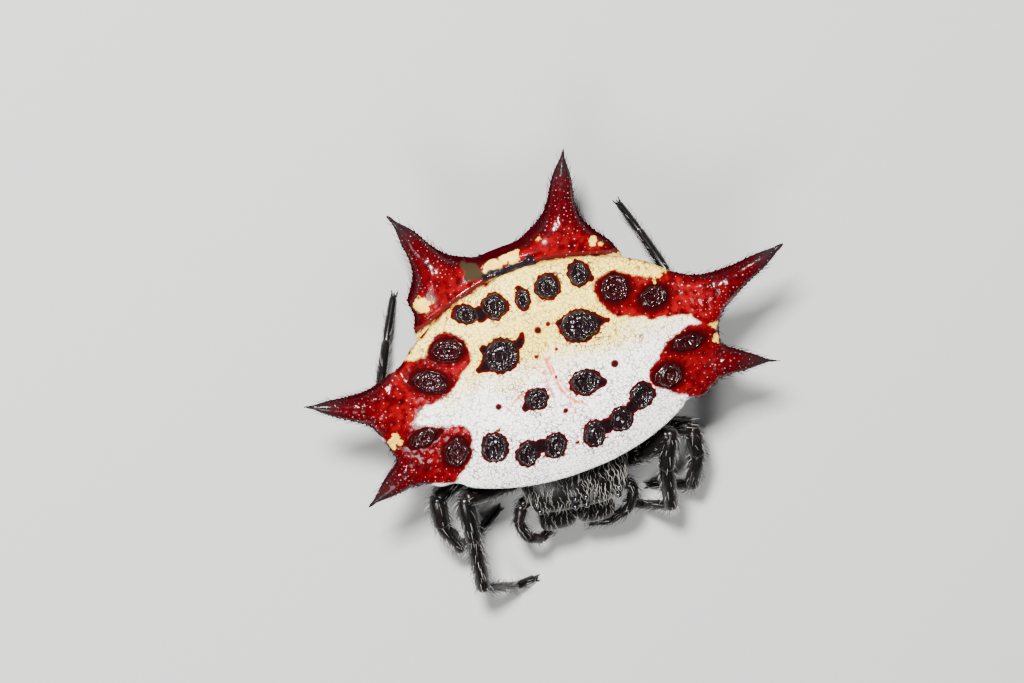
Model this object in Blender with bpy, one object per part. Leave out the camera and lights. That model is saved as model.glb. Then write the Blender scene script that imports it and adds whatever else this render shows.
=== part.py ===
"""A female spiny orb weaver at life size, standing on the floor in the pose that it holds in its web.

The spider is modelled in millimetres, brought to metres as the last step, and faces -Y with its back up.
Its own left side is +X. Heights are measured from the middle of the back plate until the spider is set down.
"""

import math

import bmesh
import bpy
from mathutils import Matrix, Vector

MM = 0.001
JOINT_GAP = 0.25  # space kept between two body parts that touch in life
FLOOR = -4.15  # height of the floor under the middle of the back plate

# Back plate: a superellipse whose front edge is squarer than its rear edge
PLATE_HALF_WIDTH = 4.5
PLATE_FRONT = 3.10
PLATE_SKEW = 0.035  # its front edge reaches further on the spider's left
PLATE_REAR = 2.8
FRONT_POWER = 2.1
REAR_POWER = 1.8
PLATE_TOP = 0.35  # height of its crown
PLATE_FALL = 0.74  # from the crown down to the rim
FALL_POWER = 2.6
PLATE_RINGS = (0.3, 0.58, 0.8, 0.93)  # shares of the plate's radius
PLATE_SIDES = 44

# Rings of the abdomen from the rim down to the spinnerets:
# half width, front reach, rear reach, height at the sides, height in front
ABDOMEN_RINGS = (
    (4.50, 3.10, 2.80, -0.40, -0.40),
    (4.42, 3.00, 2.70, -0.66, -0.60),
    (4.05, 2.50, 2.55, -1.00, -0.80),
    (3.35, 1.95, 2.45, -1.45, -1.02),
    (2.60, 1.10, 2.30, -1.90, -1.50),
    (1.90, 0.45, 2.05, -2.35, -2.15),
    (1.35, 0.10, 1.75, -2.75, -2.65),
    (0.85, -0.10, 1.40, -3.02, -3.02),
)

# Rear shelf: the wall under the plate's rear edge, which carries the two rear spines
SHELF_HALF_WIDTH = 2.95
SHELF_REAR = 3.16
SHELF_FRONT = -0.6
SHELF_TOP = -0.62
SHELF_BOTTOM = -1.95
SHELF_SIDES = 28

# Spines: root inside the body, a point halfway along the axis and the tip, then the length that
# stands free of the body and the largest half height of the root
SPINES = {
    "side_left": ((3.3, -0.08, -0.62), (5.0, 0.27, -0.38), (6.79, 0.78, -0.20), 2.35, 0.42),
    "side_right": ((-3.3, 0.10, -0.62), (-4.85, 0.79, -0.38), (-6.23, 1.45, -0.20), 1.85, 0.42),
    "front_left": ((3.2, -1.25, -0.70), (4.62, -1.80, -0.60), (5.62, -2.19, -0.50), 1.45, 0.38),
    "front_right": ((-3.2, -1.02, -0.70), (-4.56, -1.42, -0.60), (-5.58, -1.78, -0.50), 1.40, 0.38),
    "rear_left": ((1.25, 1.9, -1.30), (1.87, 3.75, -1.22), (2.38, 5.06, -1.10), 1.95, 0.62),
    "rear_right": ((-1.55, 1.9, -1.30), (-2.00, 3.82, -1.22), (-2.45, 5.10, -1.10), 1.85, 0.62),
}
SPINE_SIDES = 14
SPINE_STATIONS = (0.0, 0.22, 0.36, 0.46, 0.56, 0.68, 0.84, 1.0)  # shares of the length
SPINE_TIP_RADIUS = 0.035
SPINE_SLOPE = 0.225  # how fast the radius grows from the tip
SPINE_FLARE = 0.20  # how much wider it is where it leaves the body
FLARE_REACH = 0.30  # distance over which that dies away
SPINE_ROOT_LIMIT = 1.05  # largest radius inside the body

# Sigilla, the dimpled scars where muscles hold the plate: x, y, length, width, and the way the
# length runs, in degrees from the spider's left towards its rear
SIGILLA = (
    (3.67, -0.66, 0.84, 0.46, -12), (2.87, -1.27, 0.66, 0.60, -12), (2.02, -1.55, 0.68, 0.60, 70),
    (1.31, -1.95, 0.66, 0.60, 70), (0.60, -2.05, 0.66, 0.58, 70), (-0.58, -1.95, 0.68, 0.52, 70),
    (-1.27, -1.90, 0.62, 0.56, 70), (-2.07, -1.40, 0.78, 0.60, 74), (-3.01, -1.09, 0.64, 0.54, 80),
    (-3.67, -0.44, 0.84, 0.42, 14), (3.18, 0.89, 0.76, 0.60, -14), (2.31, 1.46, 0.72, 0.60, -24),
    (1.58, 2.19, 0.54, 0.50, 0), (0.69, 2.18, 0.58, 0.52, 0), (-0.03, 2.12, 0.36, 0.36, 0),
    (-0.80, 2.21, 0.56, 0.52, 0), (-1.55, 2.31, 0.62, 0.50, 0), (-2.32, 1.53, 0.76, 0.56, -6),
    (-3.00, 0.96, 0.82, 0.56, -26), (1.15, 0.91, 1.02, 0.72, -16), (-1.06, 0.96, 0.98, 0.74, 16),
    (0.76, -0.58, 0.72, 0.58, -16), (-0.61, -0.49, 0.56, 0.52, 0),
)
SIGILLUM_SIDES = 9
# Outline of one sigillum: share of its radius and height above the plate
SIGILLUM_PROFILE = ((1.0, -0.12), (0.98, 0.02), (0.80, 0.07), (0.48, 0.015))
SIGILLUM_MIDDLE = 0.035

SPINNERET_CENTRE_Y = 0.62
SPINNERET_RADIUS = 0.30
SPINNERET_LENGTH = 0.42

# Cephalothorax, in its own frame: the waist is at its origin and the face looks to -Y
WAIST = Vector((0.143, -1.204, 0.0))
HEAD_TURN = math.radians(-10.0)
# Distance in front of the waist, half width, height of the top
CARAPACE = (
    (0.10, 0.42, -1.66), (0.45, 0.98, -1.47), (0.98, 1.34, -1.27), (1.62, 1.48, -1.12),
    (2.18, 1.46, -1.03), (2.60, 1.36, -1.04), (2.90, 1.20, -1.14), (3.11, 0.98, -1.30),
)
CARAPACE_RIM = -1.57
CARAPACE_BELOW = -1.80
CARAPACE_POINTS = 20
STERNUM = (1.32, 0.80, 1.02)  # distance in front of the waist, half width and half length
STERNUM_BOTTOM = -2.52
MEDIAN_EYES = ((0.15, 3.03), (0.14, 2.77))  # front pair, rear pair: half spacing, distance
SIDE_EYES = ((1.07, 3.05), (1.12, 2.83))
MEDIAN_EYE_HEIGHT = (-1.13, -0.98)
SIDE_EYE_HEIGHT = (-1.42, -1.36)
EYE_RADIUS = 0.085
EYE_SOCKET_GAP = 0.04
PEDICEL_RADIUS = 0.27
PEDICEL_HEIGHT = -2.02

# Chelicera: half spacing, distance in front of the waist, height, half width and half depth
CHELICERA = (
    (0.46, 3.04, -2.06, 0.22, 0.20), (0.49, 3.24, -2.15, 0.36, 0.33), (0.50, 3.40, -2.40, 0.38, 0.38),
    (0.46, 3.40, -2.66, 0.33, 0.32), (0.39, 3.32, -2.90, 0.22, 0.23),
)
FANG = ((0.38, 3.26, -2.86, 0.15, 0.15), (0.31, 3.28, -3.07, 0.09, 0.09), (0.22, 3.22, -3.19, 0.03, 0.03))
CHELICERA_SIDES = 12

# Coxae by pair of legs, in the head's frame: half spacing and distance in front of the waist where
# one leaves the sternum, the way it points (forwards from the side), then where its femur bends:
# outwards, forwards and up from the coxa's end
COXAE = {
    1: (1.00, 2.10, 24.0, (0.34, -0.12, 0.46)),
    2: (1.10, 1.42, 8.0, (0.45, 0.04, 0.02)),
    3: (1.03, 0.75, -20.0, (0.30, -0.02, -0.04)),
    4: (0.66, 0.17, -36.0, (0.45, -0.05, -0.14)),
}
COXA_LENGTH = 0.60
COXA_HEIGHT = -2.28
TOE_RISE = 0.06  # from the floor up to the middle of a toe
TOE = FLOOR + TOE_RISE
# The middle of each joint from the knee on. The last point of each leg is its toe, on the floor.
LEG_JOINTS = {
    "leg_1_left": ((2.51, -3.17, -1.10), (2.12, -4.22, -1.50), (1.94, -5.51, -2.20), (1.46, -5.70, -3.60), (1.10, -5.66, TOE)),
    "leg_1_right": ((-3.23, -2.79, -1.05), (-3.35, -4.08, -1.40), (-3.50, -5.69, -2.20), (-2.60, -6.50, -3.65), (-2.05, -6.64, TOE)),
    "leg_2_left": ((3.17, -3.60, -2.05), (3.10, -4.44, -2.28), (2.74, -5.44, -2.95), (2.20, -5.46, -3.80), (1.78, -5.38, TOE)),
    "leg_2_right": ((-3.83, -2.79, -2.05), (-3.94, -3.64, -2.28), (-3.66, -4.64, -2.85), (-2.88, -4.64, -3.75), (-2.32, -4.46, TOE)),
    "leg_3_left": ((2.45, -2.12, -2.46), (2.98, -1.72, -2.66), (3.42, -1.30, -3.24), (3.66, -1.02, -3.80), (3.80, -0.80, TOE)),
    "leg_3_right": ((-2.45, -1.75, -2.48), (-2.98, -1.52, -2.68), (-3.42, -1.22, -3.26), (-3.66, -0.98, -3.80), (-3.80, -0.78, TOE)),
    "leg_4_left": ((2.70, -1.05, -2.72), (3.44, -0.50, -2.52), (4.02, 0.52, -2.72), (3.78, 1.55, -3.50), (3.58, 2.26, TOE)),
    "leg_4_right": ((-2.75, -0.82, -2.78), (-3.52, -0.38, -2.56), (-4.16, 0.44, -2.72), (-3.54, 1.28, -3.50), (-2.92, 2.16, TOE)),
}
# Middle radius of coxa, femur (two lengths), patella, tibia, metatarsus and tarsus, by pair of legs
LEG_RADII = {
    1: (0.22, 0.26, 0.27, 0.26, 0.25, 0.24, 0.22),
    2: (0.22, 0.25, 0.26, 0.25, 0.25, 0.24, 0.22),
    3: (0.22, 0.24, 0.25, 0.25, 0.24, 0.23, 0.22),
    4: (0.22, 0.24, 0.25, 0.25, 0.25, 0.24, 0.22),
}
JOINT_WAIST = 0.84  # a segment's radius at its ends, as a share of its middle radius
LEG_SIDES = 8
CLAW_RADIUS = 0.13

# Pedipalps, in the head's frame: half spacing, distance in front of the waist, height
PALP_JOINTS = {
    "pedipalp_left": ((0.95, 2.78, -2.17), (1.46, 2.93, -2.05), (1.60, 3.24, -2.12), (1.42, 3.78, -2.36), (0.94, 4.10, -2.70), (0.36, 4.12, -2.96)),
    "pedipalp_right": ((-0.95, 2.78, -2.17), (-1.46, 2.97, -2.05), (-1.60, 3.45, -2.12), (-1.40, 3.99, -2.36), (-1.00, 4.22, -2.72), (-0.68, 4.14, -3.00)),
}
PALP_RADII = (0.20, 0.22, 0.22, 0.21, 0.20)

COLOURS = {  # base colour, roughness
    "plate": ((0.88, 0.80, 0.58, 1.0), 0.35),
    "black_cuticle": ((0.012, 0.010, 0.010, 1.0), 0.30),
    "brown_cuticle": ((0.035, 0.018, 0.014, 1.0), 0.38),
    "eye": ((0.006, 0.006, 0.007, 1.0), 0.05),
}


def clear_scene():
    for old in list(bpy.data.objects):
        bpy.data.objects.remove(old, do_unlink=True)


def material(slot):
    found = bpy.data.materials.get(slot)
    if found:
        return found
    made = bpy.data.materials.new(slot)
    made.use_nodes = True
    shader = made.node_tree.nodes["Principled BSDF"]
    colour, roughness = COLOURS[slot]
    shader.inputs["Base Color"].default_value = colour
    shader.inputs["Roughness"].default_value = roughness
    shader.inputs["Metallic"].default_value = 0.0
    return made


def ring_loop(bm, points):
    """A closed loop of edges through the points."""
    verts = [bm.verts.new(p) for p in points]
    return [bm.edges.new((a, b)) for a, b in zip(verts, verts[1:] + verts[:1])]


def cap(bm, loop, pole):
    """Closes a loop with triangles that meet at a pole."""
    top = bm.verts.new(pole)
    for edge in loop:
        bm.faces.new((*edge.verts, top))


def loft(name, rings, first_pole, last_pole):
    """A closed mesh object through rings of points, with a pole at each end."""
    bm = bmesh.new()
    loops = [ring_loop(bm, ring) for ring in rings]
    for lower, upper in zip(loops, loops[1:]):
        bmesh.ops.bridge_loops(bm, edges=lower + upper)
    cap(bm, loops[0], first_pole)
    cap(bm, loops[-1], last_pole)
    bmesh.ops.triangulate(bm, faces=bm.faces[:])
    bmesh.ops.recalc_face_normals(bm, faces=bm.faces[:])
    mesh = bpy.data.meshes.new(name)
    bm.to_mesh(mesh)
    bm.free()
    made = bpy.data.objects.new(name, mesh)
    bpy.context.scene.collection.objects.link(made)
    return made


def fuse(name, pieces, slot, cutters=()):
    """One closed body made from overlapping pieces, less the cutters."""
    body = pieces[0]
    steps = [("UNION", pieces[1:]), ("DIFFERENCE", list(cutters))]
    for operation, tools in steps:
        if not tools:
            continue
        group = bpy.data.collections.new(name + "_" + operation.lower())
        for tool in tools:
            group.objects.link(tool)
        boolean = body.modifiers.new(operation.lower(), "BOOLEAN")
        boolean.operation = operation
        boolean.operand_type = "COLLECTION"
        boolean.collection = group
        boolean.solver = "EXACT"
        bpy.context.view_layer.update()
        graph = bpy.context.evaluated_depsgraph_get()
        joined = bpy.data.meshes.new_from_object(body.evaluated_get(graph))
        body.modifiers.clear()
        body.data = joined
        for tool in tools:
            bpy.data.objects.remove(tool, do_unlink=True)
        bpy.data.collections.remove(group)
    keep_largest(body.data)
    return finish(body, name, slot)


def keep_largest(mesh):
    """Leaves only the closed surface with the largest box."""
    bm = bmesh.new()
    bm.from_mesh(mesh)
    left = set(bm.verts)
    islands = []
    while left:
        island = {left.pop()}
        edge_of_it = list(island)
        while edge_of_it:
            vert = edge_of_it.pop()
            for edge in vert.link_edges:
                other = edge.other_vert(vert)
                if other in left:
                    left.discard(other)
                    island.add(other)
                    edge_of_it.append(other)
        islands.append(island)

    def reach(island):
        low = [min(v.co[k] for v in island) for k in range(3)]
        high = [max(v.co[k] for v in island) for k in range(3)]
        return sum(h - l for h, l in zip(high, low))

    largest = max(islands, key=reach)
    bmesh.ops.delete(bm, geom=[v for v in bm.verts if v not in largest], context="VERTS")
    bmesh.ops.triangulate(bm, faces=bm.faces[:])
    bm.to_mesh(mesh)
    bm.free()


def finish(made, name, slot):
    made.name = name
    made.data.name = name
    made.data.materials.clear()
    made.data.materials.append(material(slot))
    made.data.shade_smooth()
    made.data.set_sharp_from_angle(angle=math.radians(40.0))
    return made


def frame_along(origin, direction):
    """A matrix that puts a shape built along +Z at the origin point, along the direction."""
    turn = Vector(direction).to_track_quat("Z", "Y").to_matrix().to_4x4()
    return Matrix.Translation(Vector(origin)) @ turn


def turned(name, profile, sides, matrix, scale=(1.0, 1.0), poles=None):
    """A solid of revolution: profile holds (radius, height) from one end to the other."""
    rings = []
    for radius, height in profile:
        ring = []
        for k in range(sides):
            angle = math.tau * k / sides
            point = Vector((scale[0] * radius * math.cos(angle), scale[1] * radius * math.sin(angle), height))
            ring.append(matrix @ point)
        rings.append(ring)
    low, high = poles or (profile[0][1], profile[-1][1])
    return loft(name, rings, matrix @ Vector((0, 0, low)), matrix @ Vector((0, 0, high)))


def superellipse(half_width, front, rear, angle, front_power=2.0, rear_power=2.0, skew=0.0):
    """A point of an outline whose front (-Y) and rear halves differ. Angle 0 is at +X."""
    across, along = math.cos(angle), math.sin(angle)
    power, reach = (rear_power, rear) if along >= 0 else (front_power, front * (1 + skew * across))
    x = half_width * math.copysign(abs(across) ** (2.0 / power), across)
    y = reach * math.copysign(abs(along) ** (2.0 / power), along)
    return x, y


def plate_edge(half_width, front, rear, angle):
    """A point of the plate's edge, or of an edge like it."""
    return superellipse(half_width, front, rear, angle, FRONT_POWER, REAR_POWER, PLATE_SKEW)


def plate_share(x, y):
    """0 at the plate's crown and 1 at its rim."""
    power, reach = (REAR_POWER, PLATE_REAR) if y >= 0 else (FRONT_POWER, PLATE_FRONT)
    return (abs(x / PLATE_HALF_WIDTH) ** power + abs(y / reach) ** power) ** (1.0 / power)


def plate_height(x, y):
    return PLATE_TOP - PLATE_FALL * min(plate_share(x, y), 1.0) ** FALL_POWER


def plate_normal(x, y):
    step = 0.05
    along_x = (plate_height(x + step, y) - plate_height(x - step, y)) / (2 * step)
    along_y = (plate_height(x, y + step) - plate_height(x, y - step)) / (2 * step)
    return Vector((-along_x, -along_y, 1.0)).normalized()


def abdomen_core():
    """The plate, its rim and the belly that narrows to the spinnerets."""
    angles = [math.tau * (k + 0.5) / PLATE_SIDES for k in range(PLATE_SIDES)]
    rings = []
    for share in PLATE_RINGS:
        ring = []
        for angle in angles:
            x, y = plate_edge(PLATE_HALF_WIDTH, PLATE_FRONT, PLATE_REAR, angle)
            ring.append(Vector((share * x, share * y, PLATE_TOP - PLATE_FALL * share**FALL_POWER)))
        rings.append(ring)
    for half_width, front, rear, side_height, front_height in ABDOMEN_RINGS:
        middle = (rear - front) / 2
        reach = (rear + front) / 2
        at_rim = half_width > 4.0
        ring = []
        for angle in angles:
            if at_rim:
                x, y = plate_edge(half_width, front, rear, angle)
            else:
                x, y = superellipse(half_width, reach, reach, angle)
                y += middle
            forward = max(0.0, -math.sin(angle)) ** 2
            ring.append(Vector((x, y, side_height + (front_height - side_height) * forward)))
        rings.append(ring)
    last = ABDOMEN_RINGS[-1]
    return loft("core", rings, Vector((0, 0, PLATE_TOP)), Vector((0, SPINNERET_CENTRE_Y, last[3] - 0.03)))


def rear_shelf():
    """The swollen wall behind the plate, below the groove along its rear edge."""
    middle = (SHELF_REAR + SHELF_FRONT) / 2
    reach = (SHELF_REAR - SHELF_FRONT) / 2
    height = SHELF_TOP - SHELF_BOTTOM
    rings = []
    for share, drop in ((0.80, 0.0), (0.93, 0.12), (1.0, 0.42), (0.94, 0.72), (0.76, 1.0)):
        ring = []
        for k in range(SHELF_SIDES):
            x, y = superellipse(SHELF_HALF_WIDTH, reach, reach, math.tau * k / SHELF_SIDES, 2.6, 2.9)
            ring.append(Vector((share * x, share * y + middle, SHELF_TOP - drop * height)))
        rings.append(ring)
    return loft("shelf", rings, Vector((0, middle, SHELF_TOP)), Vector((0, middle, SHELF_BOTTOM)))


def spine(name, root, way, tip, free, half_height):
    """A curved cone that flares where it leaves the body."""
    root, way, tip = Vector(root), Vector(way), Vector(tip)
    rings = []
    for t in SPINE_STATIONS:
        # A quadratic curve through the three points
        point = root * (1 - t) * (1 - 2 * t) + way * 4 * t * (1 - t) + tip * t * (2 * t - 1)
        slope = root * (4 * t - 3) + way * (4 - 8 * t) + tip * (4 * t - 1)
        side = slope.cross(Vector((0, 0, 1))).normalized()
        above = side.cross(slope).normalized()
        reach = (tip - point).length
        flare = SPINE_FLARE * math.exp(min((reach - free) / FLARE_REACH, 1.0))
        wide = min(SPINE_TIP_RADIUS + SPINE_SLOPE * reach + flare, SPINE_ROOT_LIMIT)
        tall = min(wide, half_height)
        ring = []
        for k in range(SPINE_SIDES):
            angle = math.tau * k / SPINE_SIDES
            ring.append(point + side * wide * math.cos(angle) + above * tall * math.sin(angle))
        rings.append(ring)
    return loft(name, rings, root - (way - root).normalized() * 0.05, tip + (tip - way).normalized() * 0.03)


def sigillum(number, x, y, length, width, way):
    """A raised oval ring with a sunken middle, its root inside the plate."""
    along = Vector((math.cos(math.radians(way)), math.sin(math.radians(way)), 0))
    normal = plate_normal(x, y)
    sideways = (along - normal * along.dot(normal)).normalized()
    matrix = Matrix((sideways, normal.cross(sideways), normal)).transposed().to_4x4()
    matrix.translation = Vector((x, y, plate_height(x, y)))
    low, high = SIGILLUM_PROFILE[0][1] - 0.01, SIGILLUM_MIDDLE
    return turned(
        "sigillum_%d" % number, SIGILLUM_PROFILE, SIGILLUM_SIDES, matrix, (length / 2, width / 2), (low, high)
    )


def abdomen():
    pieces = [abdomen_core(), rear_shelf()]
    for name, sizes in SPINES.items():
        pieces.append(spine(name, *sizes))
    for number, sizes in enumerate(SIGILLA):
        pieces.append(sigillum(number, *sizes))
    return fuse("abdomen", pieces, "plate")


def spinnerets():
    """The six spinnerets in a tight ring under the belly, on a low collar."""
    top = ABDOMEN_RINGS[-1][3] - JOINT_GAP - 0.04
    collar = Vector((0, SPINNERET_CENTRE_Y, top))
    down = Vector((0, 0, -1))
    profile = ((0.62, 0.0), (0.62, 0.12), (0.48, 0.24))
    pieces = [turned("collar", profile, 16, frame_along(collar, down))]
    for k in range(6):
        angle = math.tau * (k + 0.5) / 6
        out = Vector((math.cos(angle), math.sin(angle), 0))
        root = collar + out * SPINNERET_RADIUS * 0.9 + down * 0.1
        lean = (down - out * 0.35).normalized()
        cone = ((0.15, 0.0), (0.15, 0.2), (0.10, SPINNERET_LENGTH * 0.8), (0.04, SPINNERET_LENGTH))
        pieces.append(turned("spinneret", cone, 8, frame_along(root, lean)))
    return fuse("spinnerets", pieces, "brown_cuticle")


def from_head(x, ahead, z):
    """A place in the head's frame, which is turned about the waist, as a place in the spider's."""
    return WAIST + Matrix.Rotation(HEAD_TURN, 3, "Z") @ Vector((x, -ahead, z))


def carapace():
    """The shell over the cephalothorax: a cross-section with a domed top swept from waist to face."""
    rings = []
    for ahead, half_width, top in CARAPACE:
        rim = min(CARAPACE_RIM, top - 0.06)
        ring = []
        for k in range(CARAPACE_POINTS):
            angle = math.tau * (k + 0.5) / CARAPACE_POINTS
            x = half_width * math.copysign(abs(math.cos(angle)) ** 0.85, math.cos(angle))
            rise = top - rim if math.sin(angle) >= 0 else rim - CARAPACE_BELOW
            z = rim + rise * math.copysign(abs(math.sin(angle)) ** 0.9, math.sin(angle))
            ring.append(from_head(x, ahead, z))
        rings.append(ring)
    back = from_head(0, CARAPACE[0][0] - 0.05, CARAPACE_RIM - 0.12)
    face = from_head(0, CARAPACE[-1][0] + 0.05, CARAPACE_RIM + 0.05)
    return loft("carapace", rings, back, face)


def eye_places():
    """Each eye's name and the middle of its dome."""
    places = {}
    rows = (
        ("median", MEDIAN_EYES, MEDIAN_EYE_HEIGHT),
        ("side", SIDE_EYES, SIDE_EYE_HEIGHT),
    )
    for kind, pairs, heights in rows:
        for row, (spacing, ahead), height in zip(("front", "rear"), pairs, heights):
            for side, sign in (("left", 1), ("right", -1)):
                places["eye_%s_%s_%s" % (row, kind, side)] = from_head(sign * spacing, ahead, height)
    return places


def ball(name, middle, radius, sides, rings):
    profile = []
    for k in range(1, rings):
        angle = math.pi * k / rings
        profile.append((radius * math.sin(angle), -radius * math.cos(angle)))
    return turned(name, profile, sides, Matrix.Translation(middle), (1.0, 1.0), (-radius, radius))


def mound(name, middle, half_sizes, sides=12):
    """A low ellipsoid that carries eyes."""
    made = ball(name, Vector((0, 0, 0)), 1.0, sides, 6)
    turn = Matrix.Rotation(HEAD_TURN, 4, "Z")
    stretch = Matrix.Diagonal((*half_sizes, 1.0))
    made.data.transform(Matrix.Translation(middle) @ turn @ stretch)
    return made


def cephalothorax():
    pieces = [carapace()]
    ahead, half_width, half_length = STERNUM
    rings = []
    height = CARAPACE_BELOW + 0.14 - STERNUM_BOTTOM
    for share, drop in ((1.0, 0.0), (1.0, 0.62), (0.90, 0.86), (0.66, 1.0)):
        ring = []
        for k in range(CARAPACE_POINTS):
            x, y = superellipse(half_width, half_length, half_length, math.tau * k / CARAPACE_POINTS)
            ring.append(from_head(share * x, ahead - share * y, STERNUM_BOTTOM + height * (1 - drop)))
        rings.append(ring)
    top = from_head(0, ahead, STERNUM_BOTTOM + height)
    pieces.append(loft("sternum", rings, top, from_head(0, ahead, STERNUM_BOTTOM - 0.02)))
    waist = from_head(0, 0.5, PEDICEL_HEIGHT + 0.06)
    upper, lower = ABDOMEN_RINGS[4], ABDOMEN_RINGS[5]
    share = (PEDICEL_HEIGHT + PEDICEL_RADIUS - upper[4]) / (lower[4] - upper[4])
    belly_front = upper[1] + (lower[1] - upper[1]) * share
    belly = Vector((0.05, -belly_front - 1.4 * JOINT_GAP, PEDICEL_HEIGHT))
    stalk = ((PEDICEL_RADIUS, 0.0), (PEDICEL_RADIUS, (belly - waist).length))
    pieces.append(turned("pedicel", stalk, 12, frame_along(waist, belly - waist)))
    pieces.append(mound("median_mound", from_head(0, 2.62, -1.20), (0.34, 0.34, 0.20)))
    for sign in (1, -1):
        pieces.append(mound("side_mound", from_head(sign * 1.05, 2.68, -1.50), (0.22, 0.26, 0.18)))
    sockets = []
    for name, middle in eye_places().items():
        sockets.append(ball(name + "_socket", middle, EYE_RADIUS + EYE_SOCKET_GAP, 10, 6))
    return fuse("cephalothorax", pieces, "black_cuticle", sockets)


def eyes():
    for name, middle in eye_places().items():
        finish(ball(name, middle, EYE_RADIUS, 8, 6), name, "eye")


def oval_loft(name, sign, stations, sides):
    """A solid through level ovals given in the head's frame."""
    rings = []
    for spacing, ahead, z, half_width, half_depth in stations:
        ring = []
        for k in range(sides):
            angle = math.tau * k / sides
            x = sign * spacing + half_width * math.cos(angle)
            ring.append(from_head(x, ahead + half_depth * math.sin(angle), z))
        rings.append(ring)
    first, last = stations[0], stations[-1]
    top = from_head(sign * first[0], first[1], first[2] + 0.03)
    return loft(name, rings, top, from_head(sign * last[0], last[1], last[2] - 0.03))


def chelicerae():
    """The two jaws, each with its fang folded inwards under it."""
    for side, sign in (("left", 1), ("right", -1)):
        name = "chelicera_" + side
        pieces = [
            oval_loft(name + "_base", sign, CHELICERA, CHELICERA_SIDES),
            oval_loft(name + "_fang", sign, FANG, 8),
        ]
        fuse(name, pieces, "black_cuticle")


def limb_segment(name, start, end, radius, tip_share=JOINT_WAIST):
    """One tube of a limb: narrower at both ends, which are round and reach into the next tube."""
    start, end = Vector(start), Vector(end)
    length = (end - start).length
    near, far = radius * JOINT_WAIST, radius * tip_share
    profile = (
        (near * 0.62, -near * 0.62), (near, 0.0), (radius, length * 0.30),
        (radius * 0.97, length * 0.68), (far, length), (far * 0.62, length + far * 0.62),
    )
    poles = (-near * 0.80, length + far * 0.80)
    return turned(name, profile, LEG_SIDES, frame_along(start, end - start), (1.0, 1.0), poles)


def stand_on_floor(made):
    """Cuts the toe flat where it meets the floor."""
    bm = bmesh.new()
    bm.from_mesh(made.data)
    geometry = bm.verts[:] + bm.edges[:] + bm.faces[:]
    cut = bmesh.ops.bisect_plane(
        bm, geom=geometry, dist=1e-5, plane_co=(0, 0, FLOOR), plane_no=(0, 0, -1), clear_outer=True
    )
    rim = [e for e in cut["geom_cut"] if isinstance(e, bmesh.types.BMEdge)]
    bmesh.ops.edgeloop_fill(bm, edges=rim)
    bmesh.ops.triangulate(bm, faces=bm.faces[:])
    bmesh.ops.recalc_face_normals(bm, faces=bm.faces[:])
    bm.to_mesh(made.data)
    bm.free()


def leg_root(pair, sign):
    """Where a coxa starts at the sternum, where it meets the femur, and where the femur bends."""
    x, ahead, turn, (out, forwards, up) = COXAE[pair]
    start = from_head(sign * x, ahead, COXA_HEIGHT)
    x += COXA_LENGTH * math.cos(math.radians(turn))
    ahead += COXA_LENGTH * math.sin(math.radians(turn))
    hip = from_head(sign * x, ahead, COXA_HEIGHT)
    bend = from_head(sign * (x + out), ahead + forwards, COXA_HEIGHT + up)
    return start, hip, bend


def legs():
    for name, joints in LEG_JOINTS.items():
        pair = int(name[4])
        sign = 1 if name.endswith("left") else -1
        radii = LEG_RADII[pair]
        start, hip, bend = leg_root(pair, sign)
        root = ((radii[0] * 0.92, 0.0), (radii[0], 0.10), (radii[0], (hip - start).length))
        pieces = [turned(name + "_coxa", root, LEG_SIDES, frame_along(start, hip - start))]
        points = [hip, bend] + [Vector(p) for p in joints]
        for number, (near, far) in enumerate(zip(points, points[1:])):
            last = number == len(points) - 2
            share = CLAW_RADIUS / radii[-1] if last else JOINT_WAIST
            pieces.append(limb_segment("%s_%d" % (name, number), near, far, radii[number + 1], share))
        leg = fuse(name, pieces, "black_cuticle")
        stand_on_floor(leg)


def pedipalps():
    for name, joints in PALP_JOINTS.items():
        points = [from_head(*p) for p in joints]
        pieces = []
        for number, (near, far) in enumerate(zip(points, points[1:])):
            last = number == len(points) - 2
            share = 0.6 if last else JOINT_WAIST
            pieces.append(limb_segment("%s_%d" % (name, number), near, far, PALP_RADII[number], share))
        fuse(name, pieces, "black_cuticle")


def set_down():
    """Brings the spider to metres and puts the origin under the middle of it, on the floor."""
    meshes = [o.data for o in bpy.context.scene.objects if o.type == "MESH"]
    corners = [v.co for mesh in meshes for v in mesh.vertices]
    low = [min(c[k] for c in corners) for k in range(3)]
    high = [max(c[k] for c in corners) for k in range(3)]
    middle = Vector(((low[0] + high[0]) / 2, (low[1] + high[1]) / 2, FLOOR))
    for mesh in meshes:
        mesh.transform(Matrix.Scale(MM, 4) @ Matrix.Translation(-middle))


def main():
    clear_scene()
    abdomen()
    spinnerets()
    cephalothorax()
    eyes()
    chelicerae()
    pedipalps()
    legs()
    set_down()


main()
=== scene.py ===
"""A spiny orb weaver at life size, standing on a pale floor, seen from above and behind."""

import math

import bmesh
import bpy
import numpy as np
from mathutils import Matrix, Vector


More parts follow.
